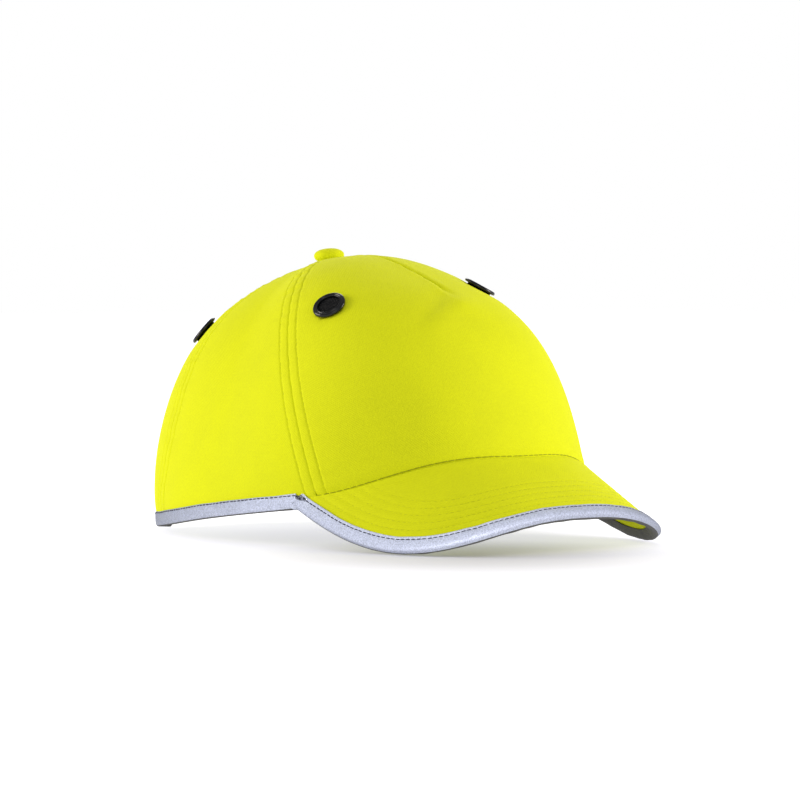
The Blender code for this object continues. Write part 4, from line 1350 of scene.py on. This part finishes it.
def swell(piece):
    """Runs cloth with air in it, bakes the result, and caps how far a point may move."""
    start = read_points(piece.data)
    cloth = piece.modifiers.new("swell", "CLOTH")
    settings = cloth.settings
    settings.quality = 6
    settings.mass = 0.2
    settings.use_pressure = True
    settings.uniform_pressure_force = 4.0
    settings.tension_stiffness = 12
    settings.compression_stiffness = 12
    settings.bending_stiffness = 0.8
    settings.effector_weights.gravity = 0.0
    cloth.point_cache.frame_start = 1
    cloth.point_cache.frame_end = SWELL_FRAMES
    for step in range(1, SWELL_FRAMES + 1):
        bpy.context.scene.frame_set(step)
    apply_all(piece)
    bpy.context.scene.frame_set(1)
    shift = read_points(piece.data) - start
    size = np.linalg.norm(shift, axis=1, keepdims=True)
    shift = shift * np.minimum(1.0, SWELL_LIMIT / np.maximum(size, 1e-9))
    piece.data.vertices.foreach_set("co", (start + shift).ravel())


def foam_pad(label):
    """A soft foam pad: the solid pad, drawn in a little, then swollen by cloth with air in it."""
    piece = put_in_scene("foam_" + label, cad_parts["pad_" + label].data.copy())
    piece.data.remesh_voxel_size = PAD_VOXEL
    bpy.ops.object.select_all(action="DESELECT")
    bpy.context.view_layer.objects.active = piece
    piece.select_set(True)
    bpy.ops.object.voxel_remesh()
    drawn_in = read_points(piece.data) - read_points(piece.data, "normal") * PAD_SHRINK
    piece.data.vertices.foreach_set("co", drawn_in.ravel())
    piece.data.update()
    swell(piece)
    relax = piece.modifiers.new("relax", "SMOOTH")
    relax.factor = 0.5
    relax.iterations = 3
    round_off = piece.modifiers.new("round", "SUBSURF")
    round_off.levels = 1
    round_off.render_levels = 1
    apply_all(piece)
    piece.data.materials.clear()
    piece.data.materials.append(FOAM)
    piece.data.shade_smooth()
    carry(piece, "liner", "foam", "pad_" + label)


impact_shell()
for pad_label in ("front", "rear", "right", "left", "crown"):
    foam_pad(pad_label)


# ---------------------------------------------------------------- rear strap

STRAP_MIDDLE = FORWARD_SHIFT + 20.0
STRAP_THICK, STRAP_PAD, LAYER_GAP = 1.0, 0.7, 0.35
STRAP_ROOT, STRAP_HINGE, STRAP_TIP = 40.0, 24.0, -20.0
STRAP_LOW, STRAP_HIGH = 7.0, 25.0
HOOK_RADIUS = 81.2
HOOK_PAD_RADIUS = HOOK_RADIUS - STRAP_THICK - LAYER_GAP + 0.25
LOOP_PAD_RADIUS = HOOK_RADIUS - STRAP_THICK - STRAP_PAD - 2 * LAYER_GAP + 0.15
LOOP_RADIUS = HOOK_RADIUS - STRAP_THICK - 2 * STRAP_PAD - 3 * LAYER_GAP


def strap_arc(start, end, count):
    """Outward directions about the strap's vertical axis, from one angle to another."""
    angle = np.radians(np.linspace(start, end, count))
    return np.stack([-np.sin(angle), np.cos(angle), 0 * angle], -1)


def strap_band(name, material, radius, thick, start, end, round_end=True, margin=0.0):
    """A band bent about the strap's axis, with rounded edges and, if asked, a round tip."""
    count = max(int(abs(end - start) * 1.6), 12)
    direction = strap_arc(start, end, count)
    path = np.array([0.0, STRAP_MIDDLE, (STRAP_LOW + STRAP_HIGH) / 2])
    path = path + direction * (radius - thick / 2)
    half_h, half_t = (STRAP_HIGH - STRAP_LOW) / 2 - margin, thick / 2
    corner = half_t * 0.9
    section = []
    for quarter, (sx, sz) in enumerate(((1, 1), (-1, 1), (-1, -1), (1, -1))):
        for a in np.radians(90 * quarter + 22.5 * np.arange(5)):
            section.append((sx * (half_t - corner) + corner * math.cos(a),
                            sz * (half_h - corner) + corner * math.sin(a)))
    sections = np.repeat(np.array(section)[None], count, 0)
    run = run_of(path)
    if round_end:
        left = np.clip(1 - (run[-1] - run) / half_h, 0, 1)
        sections[..., 1] *= np.sqrt(np.clip(1 - left ** 2, 0.02, 1))[:, None]
    sections[..., 1] += 0.10 * ripple(run, 16.0, int(radius * 10))[:, None]
    return swept(name, path, direction, np.broadcast_to(UP, path.shape), sections, material)


def strap_stitching(name, body, radius, start, end, side):
    """Two rows of stitches along a strap, on its outer face if side is 1."""
    thread = Thread(name, THREAD)
    direction = strap_arc(start, end, 40)
    for z in (STRAP_LOW + 2.2, STRAP_HIGH - 2.2):
        track = direction * radius + np.array([0.0, STRAP_MIDDLE, z])
        thread.line(track, direction * side, 2.8, 2.2, 0.17, -0.04)
    thread.finish(body, "strap")


def straps():
    flap = strap_band("hook_strap", WEBBING, HOOK_RADIUS, STRAP_THICK, STRAP_ROOT, STRAP_TIP)
    carry(flap, None, "strap", "strap_hook_root", "strap_hook_flap")
    bend = strap_arc(STRAP_HINGE + 3.0, STRAP_HINGE - 5.0, 2) * HOOK_RADIUS
    bend = (bend + np.array([0.0, STRAP_MIDDLE, (STRAP_LOW + STRAP_HIGH) / 2])) * MM
    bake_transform(flap)
    patch = strap_band("hook_patch", HOOK, HOOK_PAD_RADIUS, STRAP_PAD, 2.0, STRAP_TIP + 1.5,
                       margin=1.0)
    carry(patch, "hook_flap", "tape", "strap_hook_pad")
    patch = strap_band("loop_patch", LOOP, LOOP_PAD_RADIUS, STRAP_PAD, 15.0, -19.0, False, 1.0)
    carry(patch, "cap", "tape", "strap_loop_pad")
    band = strap_band("loop_strap", WEBBING, LOOP_RADIUS, STRAP_THICK, -STRAP_ROOT, 18.0)
    carry(band, "cap", "strap", "strap_loop")
    strap_stitching("hook_stitching", "hook_flap", HOOK_RADIUS, 1.0, STRAP_TIP + 4.5, 1)
    strap_stitching("loop_stitching", "cap", LOOP_RADIUS - STRAP_THICK, 14.0, -18.0, -1)


straps()


# ---------------------------------------------------------------- CAD parts that stay

# Solid parts drawn as they are, with a material each
STAYING = {"eyelet_washer_" + tag: BLACK for tag in EYELETS}
STAYING.update(button_tack=BLACK, peak_board=BOARD)
for node_name, look_material in STAYING.items():
    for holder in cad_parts[node_name].material_slots:
        holder.material = look_material


# ---------------------------------------------------------------- floor, light and camera

CAMERA_PLACE = (-1.1375, -1.3319, 0.12606)
CAMERA_RIGHT = (0.760621, -0.649178, 0.004878)
CAMERA_UP = (0.019842, 0.030757, 0.999330)
CAMERA_BACK = (-0.648893, -0.760014, 0.036276)
CAMERA_LENS = 171.8
WHITE = (1.0, 1.0, 1.0, 1.0)
WARM, PLAIN = (1.0, 0.92, 0.84), (1.0, 1.0, 1.0)
WORLD_LIGHT = 0.42
FLOOR_HALF = 6.0
# The floor's painted light: it glows, at these levels by distance in metres from a spot beside the
# peak, dimmest there as a painted shadow
PAINTED_SHADOW_SPOT = (-0.05, -0.11, 0.0)
GLOW = ((0.0, 0.17), (0.05, 0.38), (0.10, 0.68), (0.17, 0.80), (0.30, 1.08))
FLOOR_FILL = 0.5  # the share of it that reaches the cap
# Each lamp's place, the height that it aims at, width, watts, colour, and whether the reflective
# tape is left out of its light or takes it
LAMPS = {
    "right": ((1.22, -1.04, 0.50), 0.07, 0.8, 16.5, WARM, "EXCLUDE"),
    "left": ((-1.22, 1.04, 0.42), 0.07, 0.9, 14.5, WARM, "EXCLUDE"),
    "front": ((-0.90, -1.05, 0.80), 0.04, 0.9, 3.2, PLAIN, None),
    "back": ((0.85, 1.0, 0.85), 0.0, 0.7, 5.5, PLAIN, None),
    "flash": ((-1.13, -1.33, 0.30), 0.05, 0.3, 31.0, PLAIN, "INCLUDE"),
}


def lamp(name, place_at, aim_height, width, watts, colour, tapes):
    """A square area light. Reflective tape answers to the flash, not to lamps at the sides."""
    data = bpy.data.lights.new(name, "AREA")
    data.shape = "RECTANGLE"
    data.size = data.size_y = width
    data.energy = watts
    data.color = colour
    lamp_object = put_in_scene(name, data)
    lamp_object.location = place_at
    aim = Vector((0, 0, aim_height)) - Vector(place_at)
    lamp_object.rotation_euler = aim.to_track_quat("-Z", "Y").to_euler()
    if tapes:
        receivers = bpy.data.collections.new("tapes_" + name)
        for ribbon in ("edge_ribbon", "rear_opening_ribbon"):
            receivers.objects.link(bpy.data.objects[ribbon])
        for entry in receivers.collection_objects:
            entry.light_linking.link_state = tapes
        lamp_object.light_linking.receiver_collection = receivers


def world_light():
    """A white sky for the camera, which lights the cap less brightly."""
    world = bpy.data.worlds.new("studio")
    bpy.context.scene.world = world
    world.use_nodes = True
    nodes, links = world.node_tree.nodes, world.node_tree.links
    chosen = nodes.new("ShaderNodeMixShader")
    path = nodes.new("ShaderNodeLightPath")
    links.new(path.outputs["Is Camera Ray"], chosen.inputs[0])
    skies = (nodes["Background"], nodes.new("ShaderNodeBackground"))
    for k, (sky, strength) in enumerate(zip(skies, (WORLD_LIGHT, 1.0))):
        sky.inputs[0].default_value = WHITE
        sky.inputs[1].default_value = strength
        links.new(sky.outputs[0], chosen.inputs[k + 1])
    links.new(chosen.outputs[0], nodes["World Output"].inputs["Surface"])


def studio_floor():
    # The floor glows though it is no lamp: painted light, with a painted shadow where the glow is dim
    # beside the peak; the glow is a little blue so that shade looks grey
    look = Look("floor", (0.58, 0.58, 0.58), 0.9, Specular_IOR_Level=0.0,
                Emission_Color=(0.93, 0.93, 1.0, 1.0))
    reach = look.node("ShaderNodeVectorMath", operation="DISTANCE")
    look.link(look.node("ShaderNodeNewGeometry").outputs["Position"], reach.inputs[0])
    reach.inputs[1].default_value = PAINTED_SHADOW_SPOT
    glow = look.ramp(reach.outputs["Value"], [(d, (level,) * 3) for d, level in GLOW])
    camera_ray = look.node("ShaderNodeLightPath").outputs["Is Camera Ray"]
    seen = look.math("ADD", look.math("MULTIPLY", camera_ray, 1 - FLOOR_FILL), FLOOR_FILL)
    look.link(look.math("MULTIPLY", glow, seen), look.inputs["Emission Strength"])
    look.tint(look.noise(3.0, 2.0), 0.004)
    mesh = bpy.data.meshes.new("floor")
    corners = [(x * FLOOR_HALF, y * FLOOR_HALF, 0) for x, y in ((-1, -1), (1, -1), (1, 1), (-1, 1))]
    mesh.from_pydata(corners, [], [(0, 1, 2, 3)])
    mesh.materials.append(look.material)
    floor = put_in_scene("floor", mesh)
    floor.location = (0, 0, -0.0004)


def photo_camera():
    camera = put_in_scene("camera", bpy.data.cameras.new("camera"))
    camera.data.sensor_width = 36.0
    camera.data.lens = CAMERA_LENS
    camera.data.clip_start = 0.05
    camera.data.clip_end = 60.0
    turn = Matrix((CAMERA_RIGHT, CAMERA_UP, CAMERA_BACK)).transposed()
    camera.matrix_world = Matrix.Translation(CAMERA_PLACE) @ turn.to_4x4()
    bpy.context.scene.camera = camera


bpy.context.scene.view_settings.view_transform = "Standard"
world_light()
studio_floor()
for lamp_name, lamp_values in LAMPS.items():
    lamp(lamp_name, *lamp_values)
photo_camera()
